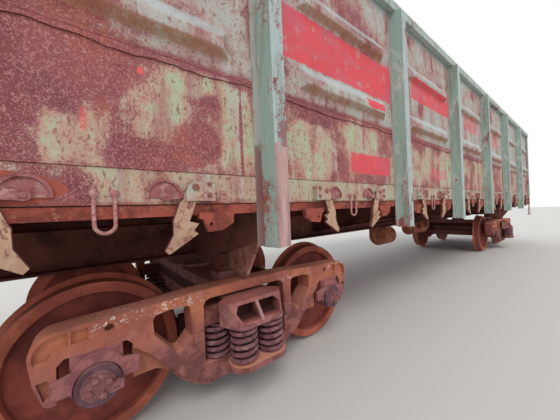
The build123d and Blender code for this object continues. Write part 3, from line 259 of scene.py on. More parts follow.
def red_patches(w, color, patches):
    """Plain rectangles of red paint with worn edges, on the outside of the near side only."""
    ragged = w.times(w.math("SUBTRACT", w.noise(14.0, 5.0, 0.7, shift=31.0), 0.5), 0.05)
    x = w.math("ADD", w.x, ragged)
    z = w.math("ADD", w.z, ragged)
    worn = w.step(w.noise(9.0, 5.0, 0.7, shift=17.0), 0.36, 0.44, 0.5, 1.0)
    kept = w.times(worn, w.outside(), w.near_side())
    brushed = w.step(w.noise(3.0, 5.0, 0.65, (0.7, 0.7, 2.0), shift=61.0), 0.40, 0.64)
    red = w.mix(brushed, srgb(220, 82, 90), srgb(206, 98, 110))
    for x0, x1, z0, z1, strength in patches:
        patch = w.times(w.band(x, x0, x1, 0.006), w.band(z, RAIL + z0, RAIL + z1, 0.006))
        color = w.mix(w.times(patch, kept, strength), color, red)
    return color


MINT = srgb(174, 182, 152)
TAN = srgb(188, 150, 132)
GREY_MINT = srgb(172, 176, 168)
PINK_GREY = srgb(178, 150, 144)
# where the nearest bay has lost more paint or less, as x, height over the rail, half sizes, weight
LOWER_BLOBS = [
    (-5.42, 1.98, 0.46, 0.22, 0.34),
    (-5.60, 1.66, 0.20, 0.26, 0.26),
    (-5.10, 1.62, 0.14, 0.09, 0.14),
    (-5.28, 1.69, 0.14, 0.14, -0.16),
    (-5.02, 1.82, 0.14, 0.16, -0.26),
    (-4.74, 2.02, 0.24, 0.08, -0.24),
    (-4.56, 1.78, 0.14, 0.24, -0.28),
    (-4.72, 1.94, 0.06, 0.05, 0.24),
    (-4.80, 1.71, 0.12, 0.11, 0.34),
    (-4.99, 1.62, 0.20, 0.07, 0.24),
    (-4.535, 1.80, 0.012, 0.30, 0.40),
    (-3.88, 2.02, 0.20, 0.06, 0.16),
    (-3.56, 1.70, 0.09, 0.16, 0.16),
    (-4.12, 1.60, 0.10, 0.10, 0.16),
    (-3.90, 1.78, 0.34, 0.20, -0.26),
    (-3.30, 1.85, 0.34, 0.24, -0.16),
    (-2.20, 1.80, 0.50, 0.24, -0.20),
    (-1.20, 1.80, 0.30, 0.24, -0.16),
]
w, color, height = side_paint("lower_sheet", 0.015, MINT, TAN, LOWER_BLOBS)
color = red_patches(w, color, [(-3.46, -2.80, 1.64, 1.82, 1.0), (-1.75, -1.2, 1.66, 1.80, 0.45)])
torn = w.math("SUBTRACT", w.noise(60.0, 4.0, 0.7, shift=57.0), 0.5)
for x, z, across, high, strength in ((-5.058, 2.012, 0.014, 0.022, 0.9), (-5.275, 1.75, 0.013, 0.055, 0.5)):
    mark = w.step(w.total((w.blob(x, z, across, high), 1.0), (torn, 1.6)), 0.45, 0.6, 0.0, strength)
    color = w.mix(mark, color, srgb(232, 96, 98))
crease = w.total((w.z, 1.0), (torn, 0.012), (w.noise(9.0, 4.0, 0.7, shift=58.0), 0.03), (-0.015, 1.0))
crease = w.band(crease, RAIL + 2.110, RAIL + 2.116, 0.003)
color = w.mix(w.times(crease, 0.8), color, srgb(104, 50, 54))
# painted shade: faces turned downwards, such as the lap edge's underside, are darkened to a deep maroon
color = w.mix(w.step(w.facing_z, -0.4, -0.7, 0.0, 0.9), color, srgb(84, 38, 44))
lower = w.finish(color, 0.8, height, 0.003)
paint("lower_sheets", lower)

UPPER_BLOBS = [
    (-5.55, 2.20, 0.45, 0.14, 0.20),
    (-5.35, 2.85, 0.40, 0.30, 0.12),
    (-4.60, 2.40, 0.30, 0.22, -0.08),
    (-3.20, 2.30, 0.60, 0.20, -0.10),
]
w, color, height = side_paint("upper_sheet", -0.075, GREY_MINT, PINK_GREY, UPPER_BLOBS)
# the ridges' downward faces turn olive-brown: moss colour, with painted shade on the faces turned down
moss_shade_amount = w.step(w.noise(7.0, 4.0, 0.6, shift=37.0), 0.40, 0.52, 0.45, 0.9)
spotty = w.step(w.noise(40.0, 4.0, 0.8, shift=47.0), 0.36, 0.56, 0.35, 1.0)
moss_and_shade = w.times(w.step(w.facing_z, -0.12, -0.60), moss_shade_amount, w.outside(), spotty)
color = w.mix(moss_and_shade, color, srgb(168, 124, 94))
# painted highlight: the outward faces turned upwards, the ridges' top slopes, are made a lighter bluish green
above = w.times(w.step(w.facing_z, 0.10, 0.5, 0.0, 0.6), w.outside())
color = w.mix(above, color, srgb(178, 196, 196))
color = red_patches(
    w,
    color,
    [
        (-4.18, -2.70, 2.40, 2.77, 1.0),
        (-3.23, -2.88, 2.255, 2.34, 1.0),
        (-2.23, -0.99, 2.59, 2.83, 0.95),
        (-0.30, 0.45, 2.55, 2.80, 0.5),
        (1.3, 2.1, 2.5, 2.75, 0.4),
    ],
)
upper = w.finish(color, 0.8, height, 0.003)


class Shape:
    """A mesh put together from swept rods, turned profiles and flat plates."""

    def __init__(self):
        self.verts = []
        self.faces = []

    def grid(self, rings, closed=True, caps=True):
        """Skins a row of rings that have the same number of points."""
        base = len(self.verts)
        count = len(rings[0])
        for ring in rings:
            self.verts.extend(tuple(p) for p in ring)
        for i in range(len(rings) - 1):
            for j in range(count if closed else count - 1):
                a = base + i * count + j
                b = base + i * count + (j + 1) % count
                self.faces.append((a, b, b + count, a + count))
        if caps:
            last = base + (len(rings) - 1) * count
            self.faces.append(tuple(base + j for j in reversed(range(count))))
            self.faces.append(tuple(last + j for j in range(count)))

    def sweep(self, path, radius, sides=8):
        """A round rod along a path of points."""
        points = [Vector(p) for p in path]
        rings = []
        side = None
        for i, p in enumerate(points):
            ahead = (points[min(i + 1, len(points) - 1)] - points[max(i - 1, 0)]).normalized()
            if side is None:
                side = ahead.orthogonal().normalized()
            side = (side - ahead * side.dot(ahead)).normalized()
            other = ahead.cross(side)
            turn = [2 * math.pi * j / sides for j in range(sides)]
            rings.append([p + radius * (math.cos(t) * side + math.sin(t) * other) for t in turn])
        self.grid(rings)

    def turned(self, center, axis, profile, sides=16):
        """A profile of (along, radius) pairs turned round an axis through a centre."""
        axis = Vector(axis).normalized()
        side = axis.orthogonal().normalized()
        other = axis.cross(side)
        rings = []
        for along, radius in profile:
            turn = [2 * math.pi * j / sides for j in range(sides)]
            middle = Vector(center) + axis * along
            rings.append([middle + radius * (math.cos(t) * side + math.sin(t) * other) for t in turn])
        self.grid(rings)

    def plate(self, outline, y0, y1):
        """An outline of (x, z) points as a plate standing lengthwise, from y0 to y1."""
        self.grid([[(x, y0, z) for x, z in outline], [(x, y1, z) for x, z in outline]])

    def make(self, name, body, mat, smooth=True, bevel=0.0):
        mesh = bpy.data.meshes.new(name)
        mesh.from_pydata(self.verts, [], self.faces)
        mesh.materials.append(mat)
        obj = bpy.data.objects.new(name, mesh)
        bpy.context.scene.collection.objects.link(obj)
        bpy.context.view_layer.objects.active = obj
        obj.select_set(True)
        bpy.ops.object.mode_set(mode="EDIT")
        bpy.ops.mesh.select_all(action="SELECT")
        bpy.ops.mesh.normals_make_consistent(inside=False)
        bpy.ops.object.mode_set(mode="OBJECT")
        obj.select_set(False)
        if smooth:
            for face in mesh.polygons:
                face.use_smooth = len(face.vertices) == 4
        if bevel:
            b = obj.modifiers.new("eased", "BEVEL")
            b.width = bevel
            b.segments = 2
            b.limit_method = "ANGLE"
            b.angle_limit = math.radians(35)
            b.harden_normals = True
        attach(obj, body)
        return obj


LAP = RAIL + 2.09
WALL_X = 6.059
WALL_Y = 1.455
SHEET_T = 0.006
UPPER_TOP = RAIL + 3.38
CHORD_TOP = RAIL + 1.555
wander = random.Random(7)
# each bay's middle and half the length of its ridges, then a ridge's foot, its crest and its top
BAYS = [(-5.254, 0.659), *((1.73 * i, 0.595) for i in range(-2, 3)), (5.254, 0.659)]
RIDGES = [(2.200, 2.245, 2.280, 2.400), (2.785, 2.825, 2.860, 2.975)]
PRESS_DEPTH = 0.050
RIDGE_SLOPE = 0.075


def eased(t):
    t = min(1.0, max(0.0, t))
    return t * t * (3 - 2 * t)


def sheet_out(x, z):
    """How far the upper sheet stands out of its plane: the pressed ridges and a few soft dents."""
    bay, half = min(BAYS, key=lambda b: abs(x - b[0]))
    along = (half - abs(x - bay)) / RIDGE_SLOPE
    up = z - RAIL
    pressed_out = max(eased(min(along, (up - a) / (b - a), (d - up) / (d - c))) for a, b, c, d in RIDGES)
    calm = eased((half + 0.14 - abs(x - bay)) / 0.2) * eased((UPPER_TOP - z) / 0.2) * eased((z - LAP) / 0.1)
    dent = math.sin(4.1 * x + 1.3) * math.sin(6.3 * up) + 0.6 * math.sin(9.7 * x + 4.0 * up)
    return PRESS_DEPTH * pressed_out + 0.0022 * calm * dent


columns = {round(-WALL_X + i * WALL_X / 60, 4) for i in range(121)}
for bay, half in BAYS:
    for end in (-1, 1):
        columns.update(round(bay + end * (half - RIDGE_SLOPE * i / 6), 4) for i in range(-1, 8))
rows = {round(LAP + i * (UPPER_TOP - LAP) / 16, 4) for i in range(17)}
for a, b, c, d in RIDGES:
    rows.update(round(RAIL + a + (b - a) * i / 7, 4) for i in range(-1, 8))
    rows.update(round(RAIL + c + (d - c) * i / 9, 4) for i in range(11))
rows = sorted(rows)
pressed = Shape()
for side in (-1, 1):
    rings = []
    for x in sorted(columns):
        outer = [(x, side * (WALL_Y + sheet_out(x, z)), z) for z in rows]
        rings.append(outer + [(x, y - side * SHEET_T, z) for x, y, z in reversed(outer)])
    pressed.grid(rings)
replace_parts(pressed.make("pressed_sheets", "wagon", upper), "upper_sheets")

lap = Shape()
bead = Shape()
for side in (-1, 1):
    rings = []
    drift = 0.0
    for i in range(607):
        x = -WALL_X + i * 0.02
        drift = 0.8 * drift + wander.uniform(-0.004, 0.004)
        wave = 0.006 * math.sin(5.3 * x + side) + 0.004 * math.sin(13.7 * x) + drift
        foot = LAP - 0.008 + wave
        top = LAP + 0.040 + 0.6 * wave + wander.uniform(-0.0015, 0.0015)
        out = side * (WALL_Y + 0.007 + wander.uniform(-0.001, 0.001))
        back = side * WALL_Y
        rings.append([(x, back, foot), (x, out, foot + 0.001), (x, out, top - 0.001), (x, back, top)])
    lap.grid(rings)
    path = []
    for i in range(304):
        z = CHORD_TOP + wander.uniform(-0.0008, 0.0008)
        path.append((-WALL_X + i * 0.04, side * (WALL_Y + 0.001), z))
    bead.sweep(path, 0.0045, 6)
lap.make("lap_edges", "wagon", lower, smooth=False)
bead.make("foot_beads", "wagon", lower)


# Posts and rails: pressed hat posts, corner posts, top rails and the bottom angles.
# Thicker steel than the sheets, welded over them. It kept more of its pale paint, a bluish green
# on fronts and webs. The first near post has lost most of it towards its foot.
def post_paint(name, rusty, front, web_in_shade):
    w = Weather(name)
    big = w.noise(2.2, 5.0, 0.62, (1, 1, 0.6), shift=14.0, warp=0.3)
    mid = w.noise(8.0, 5.0, 0.65, (1, 1, 0.6), shift=3.0, warp=0.3)
    speck = w.noise(80.0, 3.0, 0.75, shift=10.0)
    grit = w.noise(240.0, 2.0, 0.7, shift=20.0)
    low = w.step(w.z, RAIL + 1.45, RAIL + 2.05, 1.0, 0.0)
    further = w.step(w.x, -3.2, -1.0)
    lost = w.total((big, 0.8), (mid, 0.6), (speck, 0.34), (grit, 0.2), (-0.97, 1.0))
    lost = w.total((lost, 1.0), (low, 0.05), (further, -0.06))
    bare = w.step(lost, -rusty - 0.012, -rusty + 0.012)
    # painted shade: the webs, turned along the wagon, get a darker copy of the front's paint, and darker
    # streaks
    turned = w.step(w.math("ABSOLUTE", w.facing_x), 0.35, 0.6)
    green = w.mix(turned, front, web_in_shade)
    green = w.mix(w.step(mid, 0.50, 0.64, 0.0, 0.6), green, srgb(196, 200, 194))
    streak = w.step(w.noise(5.0, 5.0, 0.6, (2.0, 2.0, 0.22), shift=43.0), 0.50, 0.62, 0.0, 0.6)
    green = w.mix(streak, green, w.mix(turned, srgb(140, 158, 152), srgb(124, 120, 108)))
    green = w.mix(w.step(grit, 0.58, 0.72, 0.0, 0.3), green, srgb(140, 112, 96))
    line = w.math("ABSOLUTE", w.math("SUBTRACT", w.noise(9.0, 5.0, 0.62, (3.0, 3.0, 0.16), shift=51.0), 0.5))
    crack = w.times(w.step(line, 0.002, 0.009, 1.0, 0.0), w.step(mid, 0.44, 0.52))
    brown = w.mix(w.step(mid, 0.46, 0.62), srgb(156, 92, 86), srgb(126, 70, 66))
    flakes = w.step(w.total((speck, 0.6), (grit, 0.6)), 0.66, 0.74, 0.0, 0.6)
    brown = w.mix(flakes, brown, srgb(198, 152, 142))
    color = w.mix(bare, green, brown)
    color = w.mix(w.times(crack, 0.75), color, srgb(96, 62, 58))
    return w, color, w.total((bare, -0.5), (mid, 0.4), (speck, 0.3), (crack, -0.5))


w, color, height = post_paint("end_post_paint", -0.09, srgb(174, 184, 182), srgb(162, 168, 158))
end_posts = w.finish(color, 0.75, height, 0.002)
for node in ("corner_posts", "end_stiffeners"):
    paint(node, end_posts, 0.006, 3)
w, color, height = post_paint("post_paint", -0.115, srgb(172, 186, 186), srgb(144, 164, 154))
post_y = -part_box("side_posts")[0][1]
near_first = w.times(w.step(w.x, -4.1, -4.0, 1.0, 0.0), w.near_side())
edge_of = w.times(w.math("SUBTRACT", w.noise(11.0, 5.0, 0.7, shift=33.0), 0.5), 0.5)
low = w.times(w.step(w.math("ADD", w.z, edge_of), RAIL + 1.68, RAIL + 1.80, 1.0, 0.0), near_first)
outward = w.step(w.math("ABSOLUTE", w.facing_y), 0.6, 0.8)
flange = w.times(outward, w.step(w.math("ABSOLUTE", w.y), post_y - 0.03, post_y - 0.02, 1.0, 0.0))
front = w.math("SUBTRACT", outward, flange)
grain = w.step(w.noise(9.0, 5.0, 0.7, (3.0, 3.0, 0.25), shift=36.0), 0.44, 0.60)
flange_color = w.mix(grain, srgb(156, 152, 140), srgb(134, 118, 110))
color = w.mix(w.times(flange, 0.75), color, flange_color)
color = w.mix(w.times(flange, low, 0.8), color, srgb(120, 72, 74))
pink = w.mix(grain, srgb(194, 150, 144), srgb(160, 114, 112))
color = w.mix(w.times(front, low, 0.85), color, pink)
torn = w.math("SUBTRACT", w.noise(24.0, 5.0, 0.75, shift=34.0), 0.5)
mark = w.total((w.blob(-4.27, 1.82, 0.085, 0.10), 1.0), (torn, 3.5), (edge_of, 0.6))
color = w.mix(w.times(near_first, w.step(mark, 0.45, 0.75, 0.0, 0.75)), color, srgb(136, 76, 78))
paint("side_posts", w.finish(color, 0.75, height, 0.002), 0.006, 3)
w, color, height = post_paint("rim_paint", -0.07, srgb(168, 178, 172), srgb(160, 168, 160))
rim = w.finish(color, 0.75, height, 0.002)
for node in ("side_top_rails", "end_top_rails"):
    paint(node, rim, 0.006, 3)

CHORD_BLOBS = [
    (-5.50, 1.48, 0.24, 0.12, 0.26),
    (-5.16, 1.48, 0.16, 0.10, -0.15),
    (-4.62, 1.40, 0.20, 0.02, 0.1),
]
w, color, height = side_paint("chord_paint", -0.11, srgb(178, 174, 148), srgb(186, 154, 134), CHORD_BLOBS)
ragged = w.times(w.math("SUBTRACT", w.noise(10.0, 5.0, 0.7, shift=35.0), 0.5), 0.6)
spots = ((w.blob(-5.56, 1.455, 0.24, 0.07), 1.0), (w.blob(-4.85, 1.425, 0.12, 0.02), 0.4))
orange = w.step(w.total(*spots, (ragged, 1.0)), 0.45, 0.55, 0.0, 0.85)
color = w.mix(w.times(w.near_side(), orange), color, srgb(164, 82, 64))
foot = w.step(w.z, RAIL + 1.392, RAIL + 1.410, 0.75, 0.0)
patchy = w.step(w.noise(16.0, 4.0, 0.7, shift=45.0), 0.40, 0.52)
color = w.mix(w.times(foot, patchy), color, srgb(140, 76, 66))
paint("bottom_rails", w.finish(color, 0.8, height, 0.003), 0.002)
w, color, height = side_paint("end_sheet", 0.0, srgb(160, 162, 144), PINK_GREY, across="x")
paint("end_walls", w.finish(color, 0.8, height, 0.003))
step_rust = rust("step_rust", srgb(120, 66, 60), srgb(82, 44, 40), srgb(150, 112, 100), 14.0)
paint("ladders", step_rust, 0.004)

# Hatches: plates of red-brown rust, brightest along their outer edge strips.
# Pressed steel with turned-down ends, scraped by the load above and dusty on top.
w = Weather("hatch")
grain = w.noise(9.0, 5.0, 0.65)
color = w.mix(w.step(grain, 0.42, 0.6), srgb(158, 80, 66), srgb(118, 58, 50))
color = w.mix(w.step(w.noise(26.0, 4.0, 0.7, shift=5.0), 0.55, 0.68, 0.0, 0.6), color, srgb(180, 122, 102))
color = w.mix(w.step(w.noise(120.0, 3.0, 0.7, shift=15.0), 0.56, 0.68, 0.0, 0.5), color, srgb(92, 46, 42))
worn = w.step(w.noise(2.2, 5.0, 0.6, (1, 1.6, 1), shift=55.0), 0.42, 0.60)
scratched = w.step(w.noise(14.0, 4.0, 0.7, (3.0, 0.6, 1), shift=56.0), 0.50, 0.66, 0.0, 0.7)
scraped = w.mix(worn, srgb(112, 80, 70), srgb(140, 98, 80))
scraped = w.mix(scratched, scraped, srgb(92, 64, 58))
color = w.mix(w.step(w.facing_z, 0.5, 0.9), color, scraped)
hatch = w.finish(color, 0.9, grain, 0.003)
for side in ("near", "far"):
    for number in range(1, 8):
        paint(f"lid_{side}_{number}", hatch, 0.002)

# Latches: forged hooks, bolted brackets and half-round sectors along the bottom rails.
# Each hook turns on a pin through its bracket, and the sector beside it keeps it from slipping
# back. The brackets are bolted to the rail, the sectors are castings of bare rust.
LID_X = [-5.215, -3.46, -1.73, 0.0, 1.73, 3.46, 5.215]
PLACES = [(x, side) for x in LID_X for side in (-1, 1)]
w = Weather("hook_paint")
spots = w.noise(34.0, 5.0, 0.7, shift=6.0)
fine = w.noise(150.0, 3.0, 0.7, shift=16.0)
tone = w.step(w.noise(12.0, 4.0, 0.6, shift=26.0), 0.42, 0.6)
color = w.mix(tone, srgb(186, 152, 128), srgb(170, 134, 112))
color = w.mix(w.step(w.total((spots, 1.0), (fine, 0.5)), 0.80, 0.86, 0.0, 0.85), color, srgb(128, 70, 66))
color = w.mix(w.step(fine, 0.58, 0.70, 0.0, 0.5), color, srgb(206, 180, 158))
sides = w.step(w.math("ABSOLUTE", w.facing_y), 0.4, 0.9, 1.0, 0.0)
color = w.mix(w.times(sides, w.step(spots, 0.34, 0.46, 0.4, 0.95)), color, srgb(112, 60, 58))
hooks = w.finish(color, 0.8, w.total((spots, 1.0), (fine, 0.5)), 0.003)
paint("latch_hooks", hooks, 0.004, 3)
w, color, height = side_paint("bracket_paint", -0.13, srgb(168, 170, 150), TAN)
paint("latch_brackets", w.finish(color, 0.75, height, 0.002), 0.003)

bolt_rust = rust("bolt_rust", srgb(146, 92, 84), srgb(104, 60, 56), srgb(176, 136, 122), 40.0)
# how far the brackets stand out, and where their bolts and pins sit beside the hatch's middle
BRACKET_OUT = 0.041
BOLT_U = 0.453
PIN_U = 0.379
PIN_Z = RAIL + 1.473
BOLT_HEAD = [(0.0, 0.014), (0.002, 0.014), (0.002, 0.011), (0.009, 0.011), (0.010, 0.009)]
PIN_HEAD = [(-0.004, 0.018), (0.006, 0.018), (0.009, 0.015), (0.009, 0.007), (0.007, 0.006)]
bolts = Shape()
pins = Shape()
for lid_x, side in PLACES:
    for hand in (-1, 1):
        for z in (1.433, 1.490):
            at = (lid_x + hand * BOLT_U, side * (WALL_Y + BRACKET_OUT), RAIL + z)
            bolts.turned(at, (0, side, 0), BOLT_HEAD, 6)
        at = (lid_x + hand * PIN_U, side * (WALL_Y + BRACKET_OUT), PIN_Z)
        pins.turned(at, (0, side, 0), PIN_HEAD, 20)
bolts.make("bracket_bolts", "wagon", bolt_rust, smooth=False)
pins.make("hook_pins", "wagon", bolt_rust)

SECTOR_U = 0.238
SECTOR_Z = RAIL + 1.430
sector_rust = rust("sector_rust", srgb(156, 96, 96), srgb(112, 64, 64), srgb(184, 142, 134), 26.0)


def arc(u, z, radius, start, stop, count):
    turn = [math.radians(start + (stop - start) * i / (count - 1)) for i in range(count)]
    return [(u + radius * math.cos(t), z + radius * math.sin(t)) for t in turn]


def placed(outline, x, hand):
    return [(x + hand * u, z) for u, z in outline]


disc = arc(SECTOR_U, SECTOR_Z, 0.074, -7, 187, 19)
lip = arc(SECTOR_U, SECTOR_Z, 0.081, -7, 187, 19) + arc(SECTOR_U, SECTOR_Z, 0.068, 187, -7, 19)
finger = [(0.331, SECTOR_Z + 0.027), (0.331, SECTOR_Z - 0.012)]
finger += arc(0.236, SECTOR_Z - 0.001, 0.021, 270, 90, 9)
sectors = Shape()
for lid_x, side in PLACES:
    for hand in (-1, 1):
        for outline, near_y, far_y in ((disc, 0.0, 0.007), (lip, 0.0, 0.015), (finger, 0.007, 0.024)):
            sectors.plate(placed(outline, lid_x, hand), side * (WALL_Y + near_y), side * (WALL_Y + far_y))
        at = (lid_x + hand * SECTOR_U, side * (WALL_Y + 0.024), SECTOR_Z)
        sectors.turned(at, (0, side, 0), [(0.0, 0.012), (0.005, 0.012), (0.007, 0.009)], 14)
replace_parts(sectors.make("sector_castings", "wagon", sector_rust, smooth=False, bevel=0.002), "latch_sectors")

# Lashing loops: a bent rod at the middle of each hatch, for ropes over the load.
# Round bar, its ends set in flat heads that are riveted to the bottom rail.
loop_rust = rust("loop_rust", srgb(170, 116, 114), srgb(118, 70, 70), srgb(204, 164, 158), 34.0)
LOOP_HALF = 0.037
LOOP_TOP = RAIL + 1.440
LOOP_HEAD = [(0.0, 0.019), (0.009, 0.019), (0.014, 0.0165), (0.018, 0.011), (0.0195, 0.004)]
loops = Shape()
heads = Shape()
for lid_x, side in PLACES:
    y = side * (WALL_Y + 0.009)
    foot = [(lid_x + u, y, z) for u, z in arc(0.0, RAIL + 1.307, LOOP_HALF, 180, 360, 13)]
    loops.sweep([(lid_x - LOOP_HALF, y, LOOP_TOP), *foot, (lid_x + LOOP_HALF, y, LOOP_TOP)], 0.008, 10)
    for hand in (-1, 1):
        at = (lid_x + hand * LOOP_HALF, side * WALL_Y, LOOP_TOP)
        heads.turned(at, (0, side, 0), LOOP_HEAD, 18)
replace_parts(loops.make("loop_rods", "wagon", loop_rust), "lashing_loops")
heads.make("loop_heads", "wagon", loop_rust)

# Couplers and brake gear: steel castings at the ends, and sheet steel drums hung under the frame.
# None of it was ever painted again, so it is plain rust with dust on top.
cast = rust("cast", srgb(104, 66, 56), srgb(66, 40, 36), srgb(140, 100, 84), 8.0, dust=0.4)
paint("couplers", cast, 0.012, 3)
drum = rust("drum", srgb(150, 84, 62), srgb(104, 56, 44), srgb(178, 120, 92), 6.0, dust=0.3)
paint("brake_cylinder", drum, 0.006)
paint("air_reservoir", drum, 0.006)

# Bogies: cast side frames of flat orange-brown rust, with greyer bolsters and axle boxes.
# Each axle box has a round cover held by four bolts and a locking tab. Seven double coil springs
# under each end of the bolster stand on the frame's seat.
PIVOT_X = 4.325
FRAME_Y = 1.018
AXLE_X = 0.925
AXLE_Z = RAIL + 0.475


def from_pivot(w):
    """How far along the wagon from the nearer bogie's pivot."""
    return w.math("ABSOLUTE", w.math("SUBTRACT", w.math("ABSOLUTE", w.x), PIVOT_X))


def from_axle(w):
    """How far from the middle line of the nearest axle."""
    u = w.math("SUBTRACT", from_pivot(w), AXLE_X)
    v = w.math("SUBTRACT", w.z, AXLE_Z)
    return w.math("SQRT", w.math("MULTIPLY_ADD", u, u, w.times(v, v)))


w = Weather("frame_rust")
big = w.noise(3.2, 5.0, 0.62, shift=1.0)
mid = w.noise(11.0, 5.0, 0.65, shift=4.0, warp=0.4)
fine = w.noise(70.0, 4.0, 0.7, shift=8.0)
color = w.mix(w.step(big, 0.40, 0.62), srgb(182, 108, 86), srgb(160, 94, 80))
color = w.mix(w.step(mid, 0.48, 0.66, 0.0, 0.6), color, srgb(134, 76, 66))
color = w.mix(w.step(w.noise(5.0, 4.0, 0.6, shift=12.0), 0.50, 0.64, 0.0, 0.7), color, srgb(192, 124, 88))
color = w.mix(w.step(w.noise(6.0, 4.0, 0.6, shift=22.0), 0.54, 0.66, 0.0, 0.6), color, srgb(182, 122, 116))
color = w.mix(w.step(fine, 0.54, 0.72, 0.0, 0.45), color, srgb(120, 66, 58))
color = w.mix(w.step(w.z, RAIL + 0.44, RAIL + 0.72, 0.8, 0.0), color, srgb(138, 88, 86))
low = w.step(w.z, RAIL + 0.44, RAIL + 0.60, 1.0, 0.0)
color = w.mix(w.times(low, w.step(mid, 0.44, 0.58)), color, srgb(112, 68, 66))
behind = w.step(w.math("ABSOLUTE", w.y), 1.072, 1.090, 1.0, 0.0)
upright_face = w.step(w.math("ABSOLUTE", w.facing_y), 0.8, 0.95)
sunk = w.times(behind, upright_face, w.step(from_pivot(w), 0.55, 0.65))
color = w.mix(w.times(sunk, 0.45), color, srgb(186, 118, 84))
# painted highlight: faces turned upwards are made a light pink, as if lit from above
color = w.mix(w.step(w.facing_z, 0.3, 0.95, 0.0, 0.8), color, srgb(216, 148, 124))
edge = w.band(w.z, RAIL + 0.745, RAIL + 0.81, 0.01)
here = w.step(w.noise(1.7, 2.0, 0.5, shift=52.0), 0.47, 0.53)
chips = w.step(w.noise(64.0, 3.0, 0.65, (1, 1, 0.7), shift=32.0), 0.57, 0.62)
color = w.mix(w.times(edge, here, chips, 0.85), color, srgb(228, 212, 206))
frame_rust = w.finish(color, 0.86, w.total((mid, 0.7), (fine, 0.6)), 0.004)
w = Weather("bolster_rust")
mottle = w.noise(8.0, 5.0, 0.65, shift=5.0)
fine = w.noise(80.0, 4.0, 0.7, shift=8.0)
color = w.mix(w.step(mottle, 0.42, 0.60), srgb(158, 108, 104), srgb(132, 82, 80))
color = w.mix(w.step(w.facing_z, 0.3, 0.9, 0.0, 0.6), color, srgb(176, 106, 94))
seat_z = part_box("springs_1")[1][2]
nose_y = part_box("bolster_1")[1][1]
across = from_pivot(w)
# how deep inside the nose's sloping front
deep = w.total((w.z, -0.78), (w.math("ABSOLUTE", w.y), -1.0), (nose_y + 0.78 * (seat_z + 0.03), 1.0))
pocket = w.times(w.band(across, 0.0, 0.184, 0.002), w.band(w.z, seat_z + 0.033, seat_z + 0.141, 0.002))
rib = w.times(w.step(across, 0.013, 0.015, 1.0, 0.0), w.step(deep, 0.004, 0.010, 1.0, 0.0))
# painted shade: the spring pockets darken the deeper in they go
color = w.mix(w.times(pocket, w.step(deep, 0.004, 0.09)), color, srgb(78, 42, 38))
color = w.mix(w.times(pocket, rib, 0.5), color, srgb(186, 150, 152))
color = w.mix(w.step(fine, 0.54, 0.70, 0.0, 0.45), color, srgb(92, 52, 50))
bolster_rust = w.finish(color, 0.86, w.total((mottle, 0.8), (fine, 0.5)), 0.004)
wedge_rust = rust("wedge_rust", srgb(122, 68, 64), srgb(84, 46, 44), srgb(150, 94, 86), 9.0)
box_rust = rust("box_rust", srgb(130, 82, 84), srgb(96, 56, 60), srgb(164, 116, 114), 16.0)
w = Weather("housing_rust")
radius = from_axle(w)
mottle = w.noise(14.0, 5.0, 0.65, shift=2.0)
fine = w.noise(90.0, 4.0, 0.7, shift=8.0)
color = w.mix(w.step(mottle, 0.42, 0.60), srgb(158, 100, 100), srgb(132, 80, 82))
shaded = w.step(w.math("ABSOLUTE", w.y), 1.085, 1.095, 1.0, 0.0)
color = w.mix(w.times(shaded, 0.75), color, srgb(128, 66, 62))
cover = w.mix(w.step(mottle, 0.44, 0.58), srgb(108, 76, 86), srgb(88, 58, 64))
color = w.mix(w.step(radius, 0.1035, 0.105, 1.0, 0.0), color, cover)
color = w.mix(w.step(fine, 0.54, 0.70, 0.0, 0.5), color, srgb(84, 50, 52))
# painted highlight: faces turned upwards on the axle boxes are made a pale pink
color = w.mix(w.step(w.facing_z, 0.4, 0.9, 0.0, 0.5), color, srgb(190, 142, 134))
housing_rust = w.finish(color, 0.85, w.total((mottle, 0.8), (fine, 0.5)), 0.003)
cover_rust = rust("cover_rust", srgb(110, 74, 80), srgb(80, 50, 54), srgb(140, 98, 96), 16.0)
spring_rust = rust("spring_rust", srgb(118, 76, 82), srgb(74, 42, 46), srgb(158, 116, 118), 16.0)
dark = rust("dark_rust", srgb(84, 46, 44), srgb(54, 32, 32), srgb(120, 70, 62), 12.0)
for n in (1, 2):
    paint(f"side_frames_{n}", frame_rust, 0.010, 3)
    paint(f"bolster_{n}", bolster_rust, 0.007, 3)
    paint(f"wedges_{n}", wedge_rust, 0.003)
    paint(f"axle_boxes_{n}", housing_rust, 0.006, 3)
    paint(f"brake_beams_{n}", dark, 0.003)


def coil(shape, x, y, z0, z1, radius, wire, turns, hand, sides):
    """A compression spring with closed ends."""
    steps = int(turns * 20)
    low = z0 + wire
    rise = z1 - z0 - 2 * wire
    path = []
    for i in range(steps + 1):
        part = i / steps
        live = min(1.0, max(0.0, (part * turns - 0.7) / (turns - 1.4)))
        angle = hand * 2 * math.pi * turns * part
        climb = wire * 1.1 * (min(part * turns, 0.7) + max(0.0, (part - 1) * turns + 0.7))
        up = climb + live * (rise - wire * 1.1 * 1.4)
        path.append((x + radius * math.cos(angle), y + radius * math.sin(angle), low + up))
    shape.sweep(path, wire, sides)


# the places of a group's seven springs, and each coil's radius, wire, turns, hand and wire's sides
SPRINGS = [
    *((u, -0.195) for u in (0.1125, -0.1125)),
    *((u, 0.0) for u in (0.225, 0.0, -0.225)),
    *((u, 0.195) for u in (0.1125, -0.1125)),
]
OUTER_COIL = (0.084, 0.015, 5.4, 1, 8)
INNER_COIL = (0.050, 0.0095, 9.0, -1, 6)
